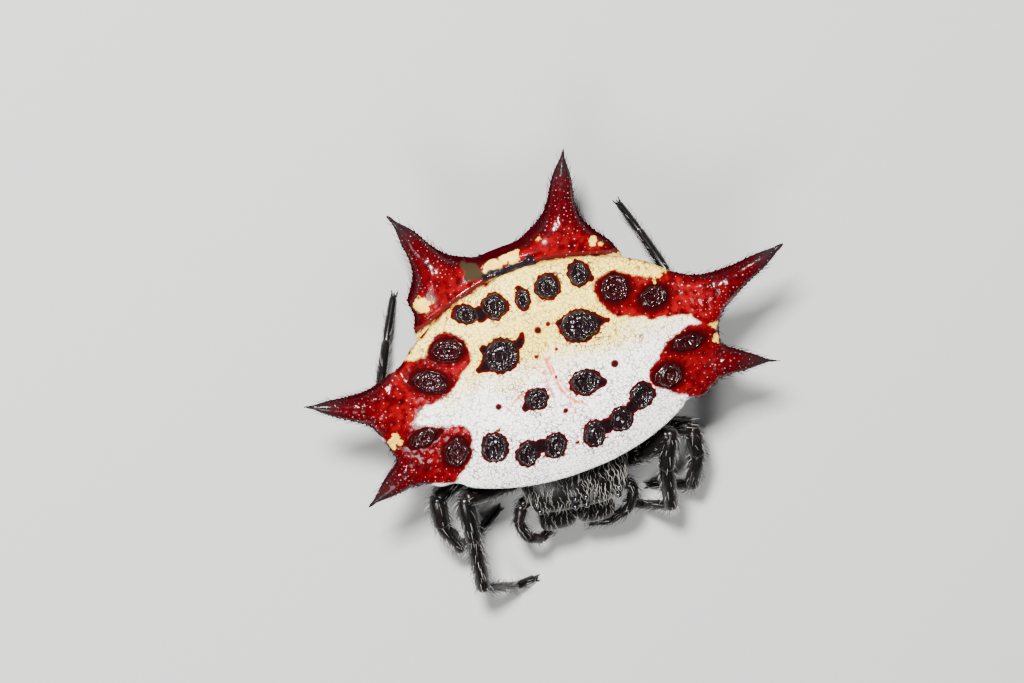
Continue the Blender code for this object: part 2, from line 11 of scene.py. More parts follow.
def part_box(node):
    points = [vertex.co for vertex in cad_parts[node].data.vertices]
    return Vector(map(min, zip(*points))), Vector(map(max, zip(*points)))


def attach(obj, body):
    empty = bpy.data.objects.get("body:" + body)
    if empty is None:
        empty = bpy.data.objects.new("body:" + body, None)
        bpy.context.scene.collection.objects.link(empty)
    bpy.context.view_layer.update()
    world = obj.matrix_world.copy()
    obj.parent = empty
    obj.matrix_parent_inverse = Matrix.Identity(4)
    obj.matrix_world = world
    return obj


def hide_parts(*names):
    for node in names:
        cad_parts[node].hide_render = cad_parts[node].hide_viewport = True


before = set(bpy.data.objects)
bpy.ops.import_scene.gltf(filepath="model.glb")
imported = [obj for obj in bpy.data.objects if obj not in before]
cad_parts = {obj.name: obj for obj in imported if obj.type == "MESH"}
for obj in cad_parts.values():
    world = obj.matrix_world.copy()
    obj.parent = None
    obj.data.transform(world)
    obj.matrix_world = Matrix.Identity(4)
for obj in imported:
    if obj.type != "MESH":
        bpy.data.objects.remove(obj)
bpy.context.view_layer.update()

# The shell: back plate, rear shelf, belly and six spines of the abdomen, one hard cuticle, white to
# cream on the plate and blood red on the spines. It grows as one piece, so its parts are merged into one
# skin. Sizes are millimetres from the plate's middle, with the spider's left along +X, its rear along +Y.
MM = 0.001
LEFT_REACH, REAR_REACH = 6.819, 5.128  # from the plate's middle to the ends of the abdomen's solid
PLATE_ABOVE_FLOOR = 4.15
abdomen_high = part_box("abdomen")[1] * 1000
SHELL_MIDDLE = Vector((abdomen_high.x - LEFT_REACH, abdomen_high.y - REAR_REACH, PLATE_ABOVE_FLOOR))
FLOOR = -SHELL_MIDDLE.z
PLATE_HALF_WIDTH = 4.5
PLATE_FRONT = 3.10
PLATE_REAR = 2.80
PLATE_SKEW = 0.035
FRONT_POWER = 2.1
REAR_POWER = 1.8
PLATE_TOP = 0.35
PLATE_FALL = 0.74
FALL_POWER = 2.6
PLATE_RINGS = (0.06, 0.15, 0.3, 0.45, 0.58, 0.7, 0.8, 0.88, 0.94, 0.975)  # shares of its reach
PLATE_SIDES = 128
SKIN_GRAIN = 0.042  # size of the skin's mesh
DOWNWARD = -0.25  # where the skin faces down more than this its mesh is coarser
COARSER_SHARE = 0.68
FAR = 99.0  # a distance before the first one is measured
ABSENT = 9.0  # the distance to a mark where it isn't painted

# half width, front, rear, height at the side, height in front
BELLY_RINGS = (
    (4.50, 3.10, 2.80, -0.40, -0.40),
    (4.49, 3.09, 2.77, -0.52, -0.50),
    (4.42, 3.00, 2.70, -0.66, -0.60),
    (4.05, 2.50, 2.55, -1.00, -0.80),
    (3.35, 1.95, 2.45, -1.45, -1.02),
    (2.60, 1.10, 2.30, -1.90, -1.50),
    (1.90, 0.45, 2.05, -2.35, -2.15),
    (1.35, 0.10, 1.75, -2.75, -2.65),
    (0.85, -0.10, 1.40, -3.02, -3.02),
)
# root, halfway point and tip of the axis, free length, half height of the root
SPINES = {
    "side_left": ((3.3, -0.08, -0.62), (5.0, 0.27, -0.38), (6.79, 0.78, -0.20), 2.35, 0.42),
    "side_right": ((-3.3, 0.10, -0.62), (-4.85, 0.79, -0.38), (-6.23, 1.45, -0.20), 1.85, 0.42),
    "front_left": ((3.2, -1.25, -0.70), (4.62, -1.80, -0.60), (5.62, -2.19, -0.50), 1.45, 0.38),
    "front_right": ((-3.2, -1.02, -0.70), (-4.56, -1.42, -0.60), (-5.58, -1.78, -0.50), 1.40, 0.38),
    "rear_left": ((1.25, 1.9, -1.30), (1.87, 3.75, -1.22), (2.38, 5.06, -1.10), 1.95, 0.62),
    "rear_right": ((-1.55, 1.9, -1.30), (-2.00, 3.82, -1.22), (-2.45, 5.10, -1.10), 1.85, 0.62),
}
SPINE_STEPS = 25
SPINE_SIDES = 28


def place(mesh):
    """Moves a mesh made in millimetres round the plate's middle to its place over the floor."""
    mesh.transform(Matrix.Scale(MM, 4) @ Matrix.Translation(SHELL_MIDDLE))


def turns(sides, start=0.0):
    """The angles of the corners of a ring, in turn."""
    return [math.tau * (k + start) / sides for k in range(sides)]


def ring(bm, points):
    """A circle of edges whose vertices are moved to the points, in turn."""
    made = bmesh.ops.create_circle(bm, cap_ends=False, segments=len(points), radius=1.0)["verts"]
    for vert, point in zip(made, points):
        vert.co = point
    return list({e for v in made for e in v.link_edges})


def skin_over(bm, rings):
    """Bridges rings of points one to the next and closes both ends."""
    loops = [ring(bm, points) for points in rings]
    for lower, upper in zip(loops, loops[1:]):
        bmesh.ops.bridge_loops(bm, edges=lower + upper)
    for end in (loops[0], loops[-1]):
        bmesh.ops.holes_fill(bm, edges=end, sides=0)


def outline(half_width, front, rear, angle, front_power=2.0, rear_power=2.0, skew=0.0):
    """A point of a rounded outline whose front (-Y) and rear halves differ."""
    across, along = math.cos(angle), math.sin(angle)
    power, reach = (rear_power, rear) if along >= 0 else (front_power, front * (1 + skew * across))
    x = half_width * math.copysign(abs(across) ** (2.0 / power), across)
    return x, reach * math.copysign(abs(along) ** (2.0 / power), along)


def plate_share(x, y):
    """0 at the plate's crown and 1 at its rim, for arrays of places."""
    across = np.abs(x / PLATE_HALF_WIDTH)
    rear = (across**REAR_POWER + np.abs(y / PLATE_REAR) ** REAR_POWER) ** (1 / REAR_POWER)
    reach = PLATE_FRONT * (1 + PLATE_SKEW * x / PLATE_HALF_WIDTH)
    front = (across**FRONT_POWER + np.abs(y / reach) ** FRONT_POWER) ** (1 / FRONT_POWER)
    return np.where(y >= 0, rear, front)


def spine_axis(root, way, tip, t):
    """A point of a spine's curved axis, t from 0 at the root to 1 at the tip."""
    return root * (1 - t) * (1 - 2 * t) + way * 4 * t * (1 - t) + tip * t * (2 * t - 1)


def spine_radius(reach, free):
    """Its half width at a distance from the tip: a cone that flares where it leaves the body."""
    flare = 0.20 * math.exp(min((reach - free) / 0.30, 1.0))
    flare += 0.05 * math.exp(-(((reach - 0.7) / 0.45) ** 2))
    return min(0.03 + 0.225 * reach + flare, 1.05)


def soften(bm, verts, rounds):
    for _ in range(rounds):
        bmesh.ops.smooth_vert(bm, verts=verts, factor=0.5, use_axis_x=True, use_axis_y=True, use_axis_z=True)


def held(mesh):
    """An object that holds the mesh while a modifier works on it."""
    holder = bpy.data.objects.new(mesh.name, mesh)
    bpy.context.scene.collection.objects.link(holder)
    return holder


def let_go(holder):
    """The mesh that the holder's modifiers make. The holder is removed."""
    bpy.context.view_layer.update()
    mesh = bpy.data.meshes.new_from_object(holder.evaluated_get(bpy.context.evaluated_depsgraph_get()))
    bpy.data.objects.remove(holder, do_unlink=True)
    return mesh


def merged(bm, grain, softening, sharp=()):
    """One closed skin of even mesh over the overlapping solids in bm, with its creases softened,
    except near the sharp points."""
    mesh = bpy.data.meshes.new("merged")
    bmesh.ops.recalc_face_normals(bm, faces=bm.faces[:])
    bm.to_mesh(mesh)
    bm.free()
    holder = held(mesh)
    remesh = holder.modifiers.new("remesh", "REMESH")
    remesh.mode = "VOXEL"
    remesh.voxel_size = grain
    out = bmesh.new()
    out.from_mesh(let_go(holder))
    soften(out, [v for v in out.verts if all((v.co - p).length > r for p, r in sharp)], softening)
    return out


def plate_outline(half_width, front, rear, angle):
    return outline(half_width, front, rear, angle, FRONT_POWER, REAR_POWER, PLATE_SKEW)


shell = bmesh.new()
rings = []
plate_turns = turns(PLATE_SIDES, 0.5)
edge = [plate_outline(PLATE_HALF_WIDTH, PLATE_FRONT, PLATE_REAR, a) for a in plate_turns]
for share in PLATE_RINGS:
    height = PLATE_TOP - PLATE_FALL * share**FALL_POWER
    rings.append([(share * x, share * y, height) for x, y in edge])
for half_width, front, rear, side_height, front_height in BELLY_RINGS:
    points = []
    for a in plate_turns:
        if half_width > 4.0:
            x, y = plate_outline(half_width, front, rear, a)
        else:
            x, y = outline(half_width, (rear + front) / 2, (rear + front) / 2, a)
            y += (rear - front) / 2
        forward = max(0.0, -math.sin(a)) ** 2
        points.append((x, y, side_height + (front_height - side_height) * forward))
    rings.append(points)
skin_over(shell, rings)

# The shelf is a swollen wall below the plate's rear edge
SHELF_HALF_WIDTH, SHELF_REAR, SHELF_FRONT = 2.95, 3.26, -0.6
SHELF_TOP, SHELF_BOTTOM = -0.62, -1.95
# share of its reach, share of its height from the top down
SHELF_RINGS = ((0.70, -0.04), (0.84, 0.0), (0.95, 0.12), (1.0, 0.36), (0.98, 0.58), (0.90, 0.8), (0.72, 1.0))
rings = []
reach = (SHELF_REAR - SHELF_FRONT) / 2
edge = [outline(SHELF_HALF_WIDTH, reach, reach, a, 2.6, 2.9) for a in turns(96)]
for share, drop in SHELF_RINGS:
    height = SHELF_TOP - drop * (SHELF_TOP - SHELF_BOTTOM)
    rings.append([(share * x, share * y + (SHELF_REAR + SHELF_FRONT) / 2, height) for x, y in edge])
skin_over(shell, rings)

circle = turns(SPINE_SIDES)
for name, (root, way, tip, free, half_height) in SPINES.items():
    root, way, tip = Vector(root), Vector(way), Vector(tip)
    rings = []
    for k in range(SPINE_STEPS + 1):
        t = k / SPINE_STEPS
        point = spine_axis(root, way, tip, t)
        slope = root * (4 * t - 3) + way * (4 - 8 * t) + tip * (4 * t - 1)
        side = slope.cross(Vector((0, 0, 1))).normalized()
        above = side.cross(slope).normalized()
        wide = max(spine_radius((tip - point).length, free), 0.06)
        tall = min(wide, half_height)
        rings.append([point + side * wide * math.cos(a) + above * tall * math.sin(a) for a in circle])
    # merging wears the end down, so it starts beyond the tip
    point = tip + slope.normalized() * (0.24 if name == "front_left" else 0.15)
    rings.append([point + (side * math.cos(a) + above * math.sin(a)) * 0.022 for a in circle])
    skin_over(shell, rings)

# Between the side and front spines the body's edge swells outwards: middle and radii
SWELLINGS = (((4.22, -0.78, -0.62), (0.42, 0.55, 0.30)), ((-4.28, -0.55, -0.62), (0.36, 0.50, 0.30)))


def mound(bm, matrix, radii):
    """A rounded swelling, as a ball that is stretched and put in its place."""
    ball = bmesh.ops.create_uvsphere(bm, u_segments=32, v_segments=20, radius=1.0)["verts"]
    bmesh.ops.transform(bm, matrix=matrix @ Matrix.Diagonal((*radii, 1)), verts=ball)


for middle, radii in SWELLINGS:
    mound(shell, Matrix.Translation(middle), radii)
shell = merged(shell, SKIN_GRAIN, 5, [(Vector(spine[2]), 0.65) for spine in SPINES.values()])
# The spines flow into the body without a crease
creased = set()
for root, way, tip, free, half_height in SPINES.values():
    root, tip = Vector(root), Vector(tip)
    for vert in shell.verts:
        reach = (vert.co - tip).length
        if free - 0.35 < reach < free + 1.15 and (vert.co - root).length < 3.2 and vert.co.z > -2.1:
            if (vert.co - root).cross(tip - root).length / (tip - root).length < 1.5:
                creased.add(vert)
soften(shell, list(creased), 45)

# Sigilla: dimpled scars where muscles hold the plate. Place, half length, half width, and the way
# the length runs in degrees
SIGILLA = (
    (3.66, -0.72, 0.42, 0.22, -12), (2.88, -1.34, 0.36, 0.32, -12), (2.03, -1.54, 0.34, 0.31, 70),
    (1.32, -1.94, 0.33, 0.29, 70), (0.53, -2.04, 0.35, 0.27, 70), (-0.56, -1.94, 0.34, 0.27, 70),
    (-1.30, -1.88, 0.34, 0.28, 70), (-2.07, -1.38, 0.40, 0.32, 74), (-3.03, -1.16, 0.38, 0.31, 62),
    (-3.70, -0.47, 0.38, 0.20, 14), (3.22, 0.80, 0.36, 0.27, -8), (2.34, 1.43, 0.36, 0.33, -24),
    (1.60, 2.12, 0.27, 0.25, 70), (0.70, 2.13, 0.29, 0.27, 0), (-0.01, 2.09, 0.21, 0.16, 70),
    (-0.77, 2.17, 0.29, 0.28, 0), (-1.54, 2.22, 0.28, 0.20, -20), (-2.33, 1.53, 0.41, 0.27, -10),
    (-3.04, 0.91, 0.44, 0.28, -26), (1.11, 0.92, 0.50, 0.38, -16), (-1.07, 0.95, 0.44, 0.40, 16),
    (0.75, -0.55, 0.38, 0.32, -16), (-0.61, -0.48, 0.27, 0.26, 0),
)
# Pointed corners of some scars and the dark bridges between neighbours: x, y, radius
SCAR_TAILS = (
    (-1.76, 0.80, 0.04), (-1.62, 0.82, 0.07), (-1.46, 0.86, 0.16), (-0.38, 1.29, 0.03), (-0.45, 1.18, 0.05),
    (-0.56, 1.08, 0.10), (1.86, 0.77, 0.02), (1.72, 0.81, 0.05), (1.54, 0.86, 0.15), (0.62, 1.19, 0.04),
    (0.76, 1.10, 0.14), (-1.00, -0.62, 0.03), (-0.90, -0.56, 0.08), (1.20, -0.75, 0.05), (1.05, -0.68, 0.15),
    (-0.93, -1.79, 0.17), (-0.80, -1.84, 0.16), (0.90, -1.96, 0.20), (1.70, -1.73, 0.17), (-1.19, 2.11, 0.17),
    (-1.44, 1.25, 0.09), (1.45, 2.33, 0.06), (1.86, 1.90, 0.05), (-0.02, 2.36, 0.05),
)
# Small separate dots
DOTS = (
    (0.05, 1.24, 0.085), (0.35, 1.29, 0.05), (0.32, 0.60, 0.045), (-0.24, 0.60, 0.045), (-1.61, -0.31, 0.08),
    (1.63, -0.38, 0.10), (0.0, -1.09, 0.065), (0.01, -2.09, 0.05), (0.06, -0.10, 0.035), (-2.23, 1.97, 0.03),
)
# Red patches that run from the side spines over pairs of scars: x, y, radius
RED_PATCHES = (
    (-2.32, 1.47, 0.50), (-2.12, 1.26, 0.24), (-3.03, 0.91, 0.52), (-3.42, 0.97, 0.56), (-3.99, 0.94, 0.68),
    (-2.68, 1.06, 0.44), (-4.34, 0.66, 0.80), (-3.87, -0.51, 0.37), (-3.49, -0.60, 0.37),
    (-3.02, -0.80, 0.37), (-2.79, -0.78, 0.26), (-3.05, -1.24, 0.40), (-3.45, -1.38, 0.43),
    (-3.98, -1.27, 0.56), (-4.50, -1.08, 0.66),
    (-3.43, -1.76, 0.24), (2.34, 1.37, 0.49), (2.07, 1.58, 0.23), (2.76, 1.02, 0.49), (3.21, 0.78, 0.52),
    (3.67, 0.67, 0.52), (4.25, 0.52, 0.59), (2.29, 1.04, 0.25), (2.92, -1.26, 0.44), (2.69, -1.22, 0.31),
    (3.29, -0.87, 0.43), (3.76, -0.76, 0.46), (4.05, -1.13, 0.56), (3.54, -1.60, 0.50), (4.10, -1.69, 0.62),
    (3.06, -1.79, 0.20), (4.50, -0.10, 0.26), (4.48, -0.45, 0.30), (4.42, -0.75, 0.32), (-4.45, -0.10, 0.22),
    (-4.40, -0.62, 0.30), (-4.2, -0.72, 0.26), (3.62, -2.20, 0.26), (3.45, -2.15, 0.17), (4.60, -0.85, 0.30),
    (-4.60, -0.80, 0.30),
)
# Cream patches within the red, on the shelf and between the spines: x, y, radius
CREAM_PATCHES = (
    (-0.50, 3.02, 0.17), (-0.32, 3.06, 0.20), (-0.02, 3.10, 0.19), (0.16, 3.10, 0.20), (0.10, 2.96, 0.13),
    (2.35, 2.60, 0.15), (-2.47, 2.72, 0.19), (-3.25, 1.95, 0.10), (-4.46, -0.32, 0.16), (-4.56, -0.44, 0.13),
    (3.46, 1.34, 0.13), (3.25, 1.50, 0.09), (4.50, -0.66, 0.13), (4.46, -0.98, 0.10), (0.9, 3.22, 0.07),
)
# The one dull olive patch on the shelf
OLIVE_PATCHES = ((-0.96, 3.06, 0.22), (-0.81, 2.92, 0.13), (-1.08, 3.22, 0.12), (-1.15, 2.98, 0.10))
# Reddish veins down the plate's middle, each a line of points
VEINS = (
    ((-0.04, 0.44), (-0.02, -0.15), (0.15, -0.71), (0.24, -1.25)),
    ((0.06, 0.44), (0.05, -0.25), (0.09, -0.61)),
    ((0.13, -0.21), (0.25, -0.61), (0.32, -1.0)),
    ((-0.21, 0.14), (-0.20, -0.29), (-0.17, -0.58)),
    ((-1.43, -0.51), (-1.16, -0.31), (-0.91, -0.24)),
    ((0.46, -0.98), (0.61, -1.34)),
    ((0.15, -0.71), (0.41, -1.03)),
)
# Low dark bumps in a row under the plate's rear edge
BUMPS = (
    (0.53, 2.80, 0.15), (0.35, 2.79, 0.08), (0.18, 2.80, 0.09), (0.0, 2.82, 0.10), (-0.18, 2.82, 0.09),
    (-0.35, 2.83, 0.10), (-0.52, 2.86, 0.11), (-0.70, 2.84, 0.08),
)


def coordinates(mesh, kind="co"):
    """The places of a mesh's vertices, or their normals."""
    out = np.empty(len(mesh.vertices) * 3)
    mesh.vertices.foreach_get(kind, out)
    return out.reshape(-1, 3)


def store(mesh, name, values):
    """Keeps one number for each vertex, for the material to read."""
    mesh.attributes.new(name, "FLOAT", "POINT").data.foreach_set("value", values.astype(np.float32))


def blobs(x, y, circles):
    """Signed distance to a group of circles, below 0 inside."""
    return np.min([np.hypot(x - a, y - b) - r for a, b, r in circles], axis=0)


def soft_blobs(x, y, circles, blend=0.09):
    """Signed distance to circles that flow together where they meet."""
    total = sum(np.exp(-(np.hypot(x - a, y - b) - r) / blend) for a, b, r in circles)
    return -blend * np.log(np.maximum(total, 1e-30))


def nearest_scar(x, y):
    """How far out of the nearest scar a place is (1 at its rim), and the distance from its rim."""
    best = np.full(len(x), FAR)
    gap = np.full(len(x), FAR)
    for a, b, long, wide, way in SIGILLA:
        c, s = math.cos(math.radians(way)), math.sin(math.radians(way))
        u, v = (x - a) * c + (y - b) * s, (y - b) * c - (x - a) * s
        r = np.hypot(u / long, v / wide)
        best = np.minimum(best, r)
        gap = np.minimum(gap, (r - 1) * math.sqrt(long * wide))
    return best, gap


def nearest_vein(x, y):
    """The distance from the nearest vein."""
    best = np.full(len(x), FAR)
    for line in VEINS:
        for (ax, ay), (bx, by) in zip(line, line[1:]):
            t = ((x - ax) * (bx - ax) + (y - ay) * (by - ay)) / ((bx - ax) ** 2 + (by - ay) ** 2)
            t = np.clip(t, 0, 1)
            best = np.minimum(best, np.hypot(x - ax - t * (bx - ax), y - ay - t * (by - ay)))
    return best


def ramp(values, low, high):
    """0 below low, 1 above high, smooth between."""
    t = np.clip((values - low) / (high - low), 0, 1)
    return t * t * (3 - 2 * t)


def ridge(values, middle, width):
    """1 at the middle, dying away to both sides."""
    return np.exp(-(((values - middle) / width) ** 2))


def waves(x, y, a, b, c, d, start=0.0):
    """Two crossing sets of waves."""
    return np.sin(a * x + b * y + start) * np.sin(c * y - d * x)


# The mesh is halved round the scars, so that their rims are crisp
near_scar = []
for face in shell.faces:
    middle = face.calc_center_median()
    if middle.z > -0.6 and face.normal.z > 0.3:
        for a, b, long, wide, way in SIGILLA:
            if (middle.x - a) ** 2 + (middle.y - b) ** 2 < (long + 0.05) ** 2:
                near_scar.append(face)
                break
near_edges = list({e for f in near_scar for e in f.edges})
bmesh.ops.subdivide_edges(shell, edges=near_edges, cuts=1, use_grid_fill=True)
bmesh.ops.triangulate(shell, faces=[f for f in shell.faces if len(f.verts) > 4])
shell_mesh = bpy.data.meshes.new("shell")
shell.to_mesh(shell_mesh)
shell.free()
# and coarser where it faces down
holder = held(shell_mesh)
below = [v.index for v in shell_mesh.vertices if v.normal.z < DOWNWARD]
holder.vertex_groups.new(name="below").add(below, 1.0, "REPLACE")
coarser = holder.modifiers.new("coarser", "DECIMATE")
coarser.vertex_group = "below"
coarser.ratio = COARSER_SHARE
shell_mesh = let_go(holder)

co = coordinates(shell_mesh)
normals = coordinates(shell_mesh, "normal")
x, y, z = co.T
upward = normals[:, 2]
share = plate_share(x, y)
on_plate = ramp(upward, 0.25, 0.6) * ramp(z, -0.75, -0.5)
reach, gap = nearest_scar(x, y)
spine_gap = np.full(len(x), FAR)
tip_gap = np.full(len(x), FAR)
for root, way, tip, free, half_height in SPINES.values():
    root, way, tip = (np.array(p) for p in (root, way, tip))
    from_tip = np.linalg.norm(co - tip, axis=1)
    tip_gap = np.minimum(tip_gap, from_tip)
    spine_gap = np.minimum(spine_gap, from_tip - 0.35)
    for t in np.linspace(0.40, 1.0, 22):
        point = spine_axis(root, way, tip, t)
        radius = spine_radius(float(np.linalg.norm(tip - point)), free)
        spine_gap = np.minimum(spine_gap, np.linalg.norm(co[:, :2] - point[:2], axis=1) - radius - 0.04)
# A scar rises at its rim to an uneven ridge, and inside it is crumpled round a pit
slow = waves(x, y, 11, 4, 9, 5, 1)
quick = waves(x, y, 23, 9, 19, 13)
fast = waves(x, y, 47, 15, 41, 23)
tails = soft_blobs(x, y, SCAR_TAILS, 0.04) - 0.02
inside = ramp(-np.minimum(gap, tails), 0.0, 0.06)
bent_reach = reach + 0.13 * slow + 0.07 * quick
gap = gap + 0.022 * quick + 0.015 * slow
rise = 0.05 * ramp(-gap, 0.0, 0.05) + (0.045 + 0.025 * quick) * ridge(bent_reach, 0.80, 0.09)
rise -= 0.045 * ramp(-reach, -0.74, -0.58)
rise += (0.035 + 0.025 * slow) * ridge(bent_reach, 0.44, 0.12) - 0.09 * ridge(bent_reach, 0, 0.26)
rise += 0.009 * fast * ramp(-gap, 0.0, 0.06) + 0.014 * quick * inside
rise = np.where((reach < 1.2) | (tails < 0.05), rise, 0.0)
rise += 0.02 * np.exp(-np.clip(blobs(x, y, DOTS), 0, 9) / 0.03)
# The plate is uneven, and its rear lip is thick above a groove
wave = np.sin(1.9 * x + 0.7) * np.sin(2.3 * y + 1.1)
wave += 0.6 * np.sin(4.1 * x - 1.7 * y) * np.sin(3.3 * y + 0.4)
rise += 0.014 * wave
crinkle = waves(x, y, 17, 6, 13, 9) + waves(x, y, 29, -11, 23, -13) * 0.6
groove = ridge(share, 1.03, 0.022) * ramp(y, 0.6, 1.2) * ramp(z, -1.0, -0.7) * ramp(-z, 0.42, 0.5)
bump_gap = soft_blobs(x, y, BUMPS, 0.03)
low_bumps = 0.04 * ramp(-bump_gap, -0.02, 0.10) * ramp(-z, 0.45, 0.6)
low_bumps += 0.02 * wave * ramp(share, 1.02, 1.08) * ramp(1.6 + z, 0.0, 0.4)
in_red = ramp(-soft_blobs(x, y, RED_PATCHES), 0.0, 0.1) * ramp(gap, 0.05, 0.2)
on_spine = 0.006 * crinkle * ramp(-spine_gap, 0.1, 0.3) * ramp(tip_gap, 0.4, 0.9)
rise = (rise + 0.010 * crinkle * in_red) * on_plate - 0.07 * groove + low_bumps + on_spine
co += normals * rise[:, None]
shell_mesh.vertices.foreach_set("co", co.ravel())
shell_mesh.update()

# Where each colour is, as distances that are below 0 inside
behind = np.where(y > 0.4, (1.0 - share) * 3.2 - 0.02, FAR)
red = np.minimum(np.minimum(spine_gap, soft_blobs(x, y, RED_PATCHES)), behind)
cream = blobs(x, y, CREAM_PATCHES)
olive = blobs(x, y, OLIVE_PATCHES)
under = np.maximum(ramp(-z, 0.52, 0.75) * ramp(-y, 0.3, 0.9), ramp(-z, 1.35, 1.85))
under = np.maximum(under, ramp(-z, 0.75, 1.15) * ramp(np.abs(x), 3.0, 3.6))
under = np.maximum(under, ramp(-upward, 0.15, 0.5)) * ramp(spine_gap, -0.35, 0.15)
kept = {
    "scar": np.where(on_plate > 0.2, np.minimum(gap - 0.05, tails), ABSENT),
    "dot": np.where(on_plate > 0.2, blobs(x, y, DOTS), ABSENT),
    "red": red,
    "cream": np.where(z > -1.4, cream + 0.25 * ramp(-upward, -0.7, -0.3), ABSENT),
    "olive": np.where((z > -1.4) & (share > 1.0), olive, ABSENT),
    "bump": np.where((z < -0.4) & (share > 0.98), bump_gap, ABSENT),
    "steep": upward,
    "gap": np.where(on_plate > 0.2, gap, ABSENT),
    "vein": nearest_vein(x, y),
    "under": under,
    "tip": tip_gap,
    "rearward": y + 0.05 * x,
    "lip": np.where((y > 1.25) & (spine_gap > -0.2), np.abs(share - 1.015), ABSENT),
}
for name, values in kept.items():
    store(shell_mesh, name, values)
place(shell_mesh)


def add(tree, kind, feeds=(), **fields):
    """Adds a shader node, sets its fields, and feeds its inputs with values or other nodes' outputs."""
    made = tree.nodes.new("ShaderNode" + kind)
    for field, value in fields.items():
        setattr(made, field, value)
    for socket, value in dict(feeds).items():
        if isinstance(value, bpy.types.NodeSocket):
            tree.links.new(value, made.inputs[socket])
        else:
            made.inputs[socket].default_value = value
    return made


def effect(name, inputs, output):
    """An empty group of nodes with named inputs, its inputs' sockets and its output's node."""
    group = bpy.data.node_groups.new(name, "ShaderNodeTree")
    for socket in inputs:
        group.interface.new_socket(socket, in_out="INPUT", socket_type="NodeSocketFloat")
    kind = "NodeSocketVector" if output == "Normal" else "NodeSocketFloat"
    group.interface.new_socket(output, in_out="OUTPUT", socket_type=kind)
    return group, group.nodes.new("NodeGroupInput").outputs, group.nodes.new("NodeGroupOutput")


# Grain: a soft uneven mask that stays where it is on the object
GRAIN, given, result = effect("grain", ("Scale", "Detail"), "Mask")
where = add(GRAIN, "TexCoord").outputs["Object"]
uneven = add(GRAIN, "TexNoise", {"Vector": where, "Scale": given["Scale"], "Detail": given["Detail"]})
GRAIN.links.new(uneven.outputs["Fac"], result.inputs["Mask"])


class Finish:
    """A material, with short names for the nodes that make its masks and colours."""

    def __init__(self, name, roughness, colour=None, shine=None):
        self.material = bpy.data.materials.new(name)
        self.material.use_nodes = True
        self.tree = self.material.node_tree
        self.inputs = self.tree.nodes["Principled BSDF"].inputs
        self.inputs["Roughness"].default_value = roughness
        if colour:
            self.inputs["Base Color"].default_value = (*colour, 1)
        if shine is not None:
            self.inputs["Specular IOR Level"].default_value = shine

    def feed(self, **outputs):
        """Links outputs to the sockets of the surface, whose names have _ for each space."""
        for socket, output in outputs.items():
            self.tree.links.new(output, self.inputs[socket.replace("_", " ")])

    def add(self, kind, feeds=(), **fields):
        return add(self.tree, kind, feeds, **fields)

    def stored(self, name):
        """The number kept for each vertex under that name."""
        return self.add("Attribute", attribute_name=name).outputs["Fac"]

    def grain(self, size, detail=2.0):
        """The grain mask, with features of the size given in millimetres."""
        feeds = {"Scale": 1000.0 / size, "Detail": detail}
        return self.add("Group", feeds, node_tree=GRAIN).outputs["Mask"]

    def step(self, value, low, high):
        """0 where the value is at low and 1 where it is at high."""
        feeds = {"Value": value, "From Min": low, "From Max": high}
        return self.add("MapRange", feeds, interpolation_type="SMOOTHSTEP").outputs["Result"]

    def between(self, value, low, high):
        """low where the value is 0 and high where it is 1."""
        return self.add("MapRange", {"Value": value, "To Min": low, "To Max": high}).outputs["Result"]

    def sum(self, a, b, operation="ADD"):
        return self.add("Math", {0: a, 1: b}, operation=operation).outputs[0]

    def less(self, a, b):
        return self.sum(a, b, "SUBTRACT")

    def times(self, a, b):
        return self.sum(a, b, "MULTIPLY")

    def most(self, a, b):
        return self.sum(a, b, "MAXIMUM")

    def blended(self, mask, below, above):
        """One colour over another where the mask is 1."""
        below, above = ((*c, 1) if isinstance(c, tuple) else c for c in (below, above))
        return self.add("Mix", {"Factor": mask, 6: below, 7: above}, data_type="RGBA").outputs[2]


cuticle = Finish("shell cuticle", 0.4)
stored, step, times, less, most = cuticle.stored, cuticle.step, cuticle.times, cuticle.less, cuticle.most
# Three layers of grain. They steer the shine too, which no group may feed, so they are its own nodes
where = cuticle.add("TexCoord").outputs["Object"]
fine, middling, broad = (
    cuticle.add("TexNoise", {"Vector": where, "Scale": 1000.0 / size, "Detail": 3.0}).outputs["Fac"]
    for size in (0.045, 0.20, 0.7)
)
wander = times(less(middling, 0.5), 0.20)
scar_gap = cuticle.sum(stored("gap"), wander)


def edge_of(name, bend=1.0):
    """The distance to a patch's outline, which wanders a little."""
    return cuticle.sum(stored(name), wander if bend == 1.0 else times(wander, bend))


def paint(below, mask, above):
    return cuticle.blended(mask, below, above)


# The plate: white in front, cream behind, crossed by a net of fine brown cracks
bent = cuticle.add("TexNoise", {"Vector": where, "Scale": 9000.0, "Detail": 2.0}).outputs["Color"]
bent = cuticle.add("VectorMath", {0: bent, 1: (0.00006, 0.00006, 0.00006)}, operation="MULTIPLY").outputs[0]
bent = cuticle.add("VectorMath", {0: bent, 1: where}, operation="ADD").outputs[0]
cells = cuticle.add("TexVoronoi", {"Vector": bent, "Scale": 9500.0}, feature="DISTANCE_TO_EDGE")
cracks = step(cells.outputs["Distance"], 0.13, 0.03)
rearward = cuticle.sum(stored("rearward"), times(broad, 1.6))
plate = cuticle.blended(step(rearward, 0.2, 1.9), (0.88, 0.86, 0.81), (0.84, 0.61, 0.07))
worn = cuticle.sum(times(step(broad, 0.35, 0.75), 0.35), times(step(scar_gap, 0.30, 0.02), 0.45))
broken = times(step(cuticle.grain(0.12), 0.25, 0.55), cuticle.sum(worn, 0.62))
plate = paint(plate, times(broken, cracks), (0.050, 0.015, 0.005))
dust = times(step(fine, 0.60, 0.68), step(broad, 0.40, 0.70))
plate = paint(plate, times(dust, 0.60), (0.20, 0.09, 0.03))
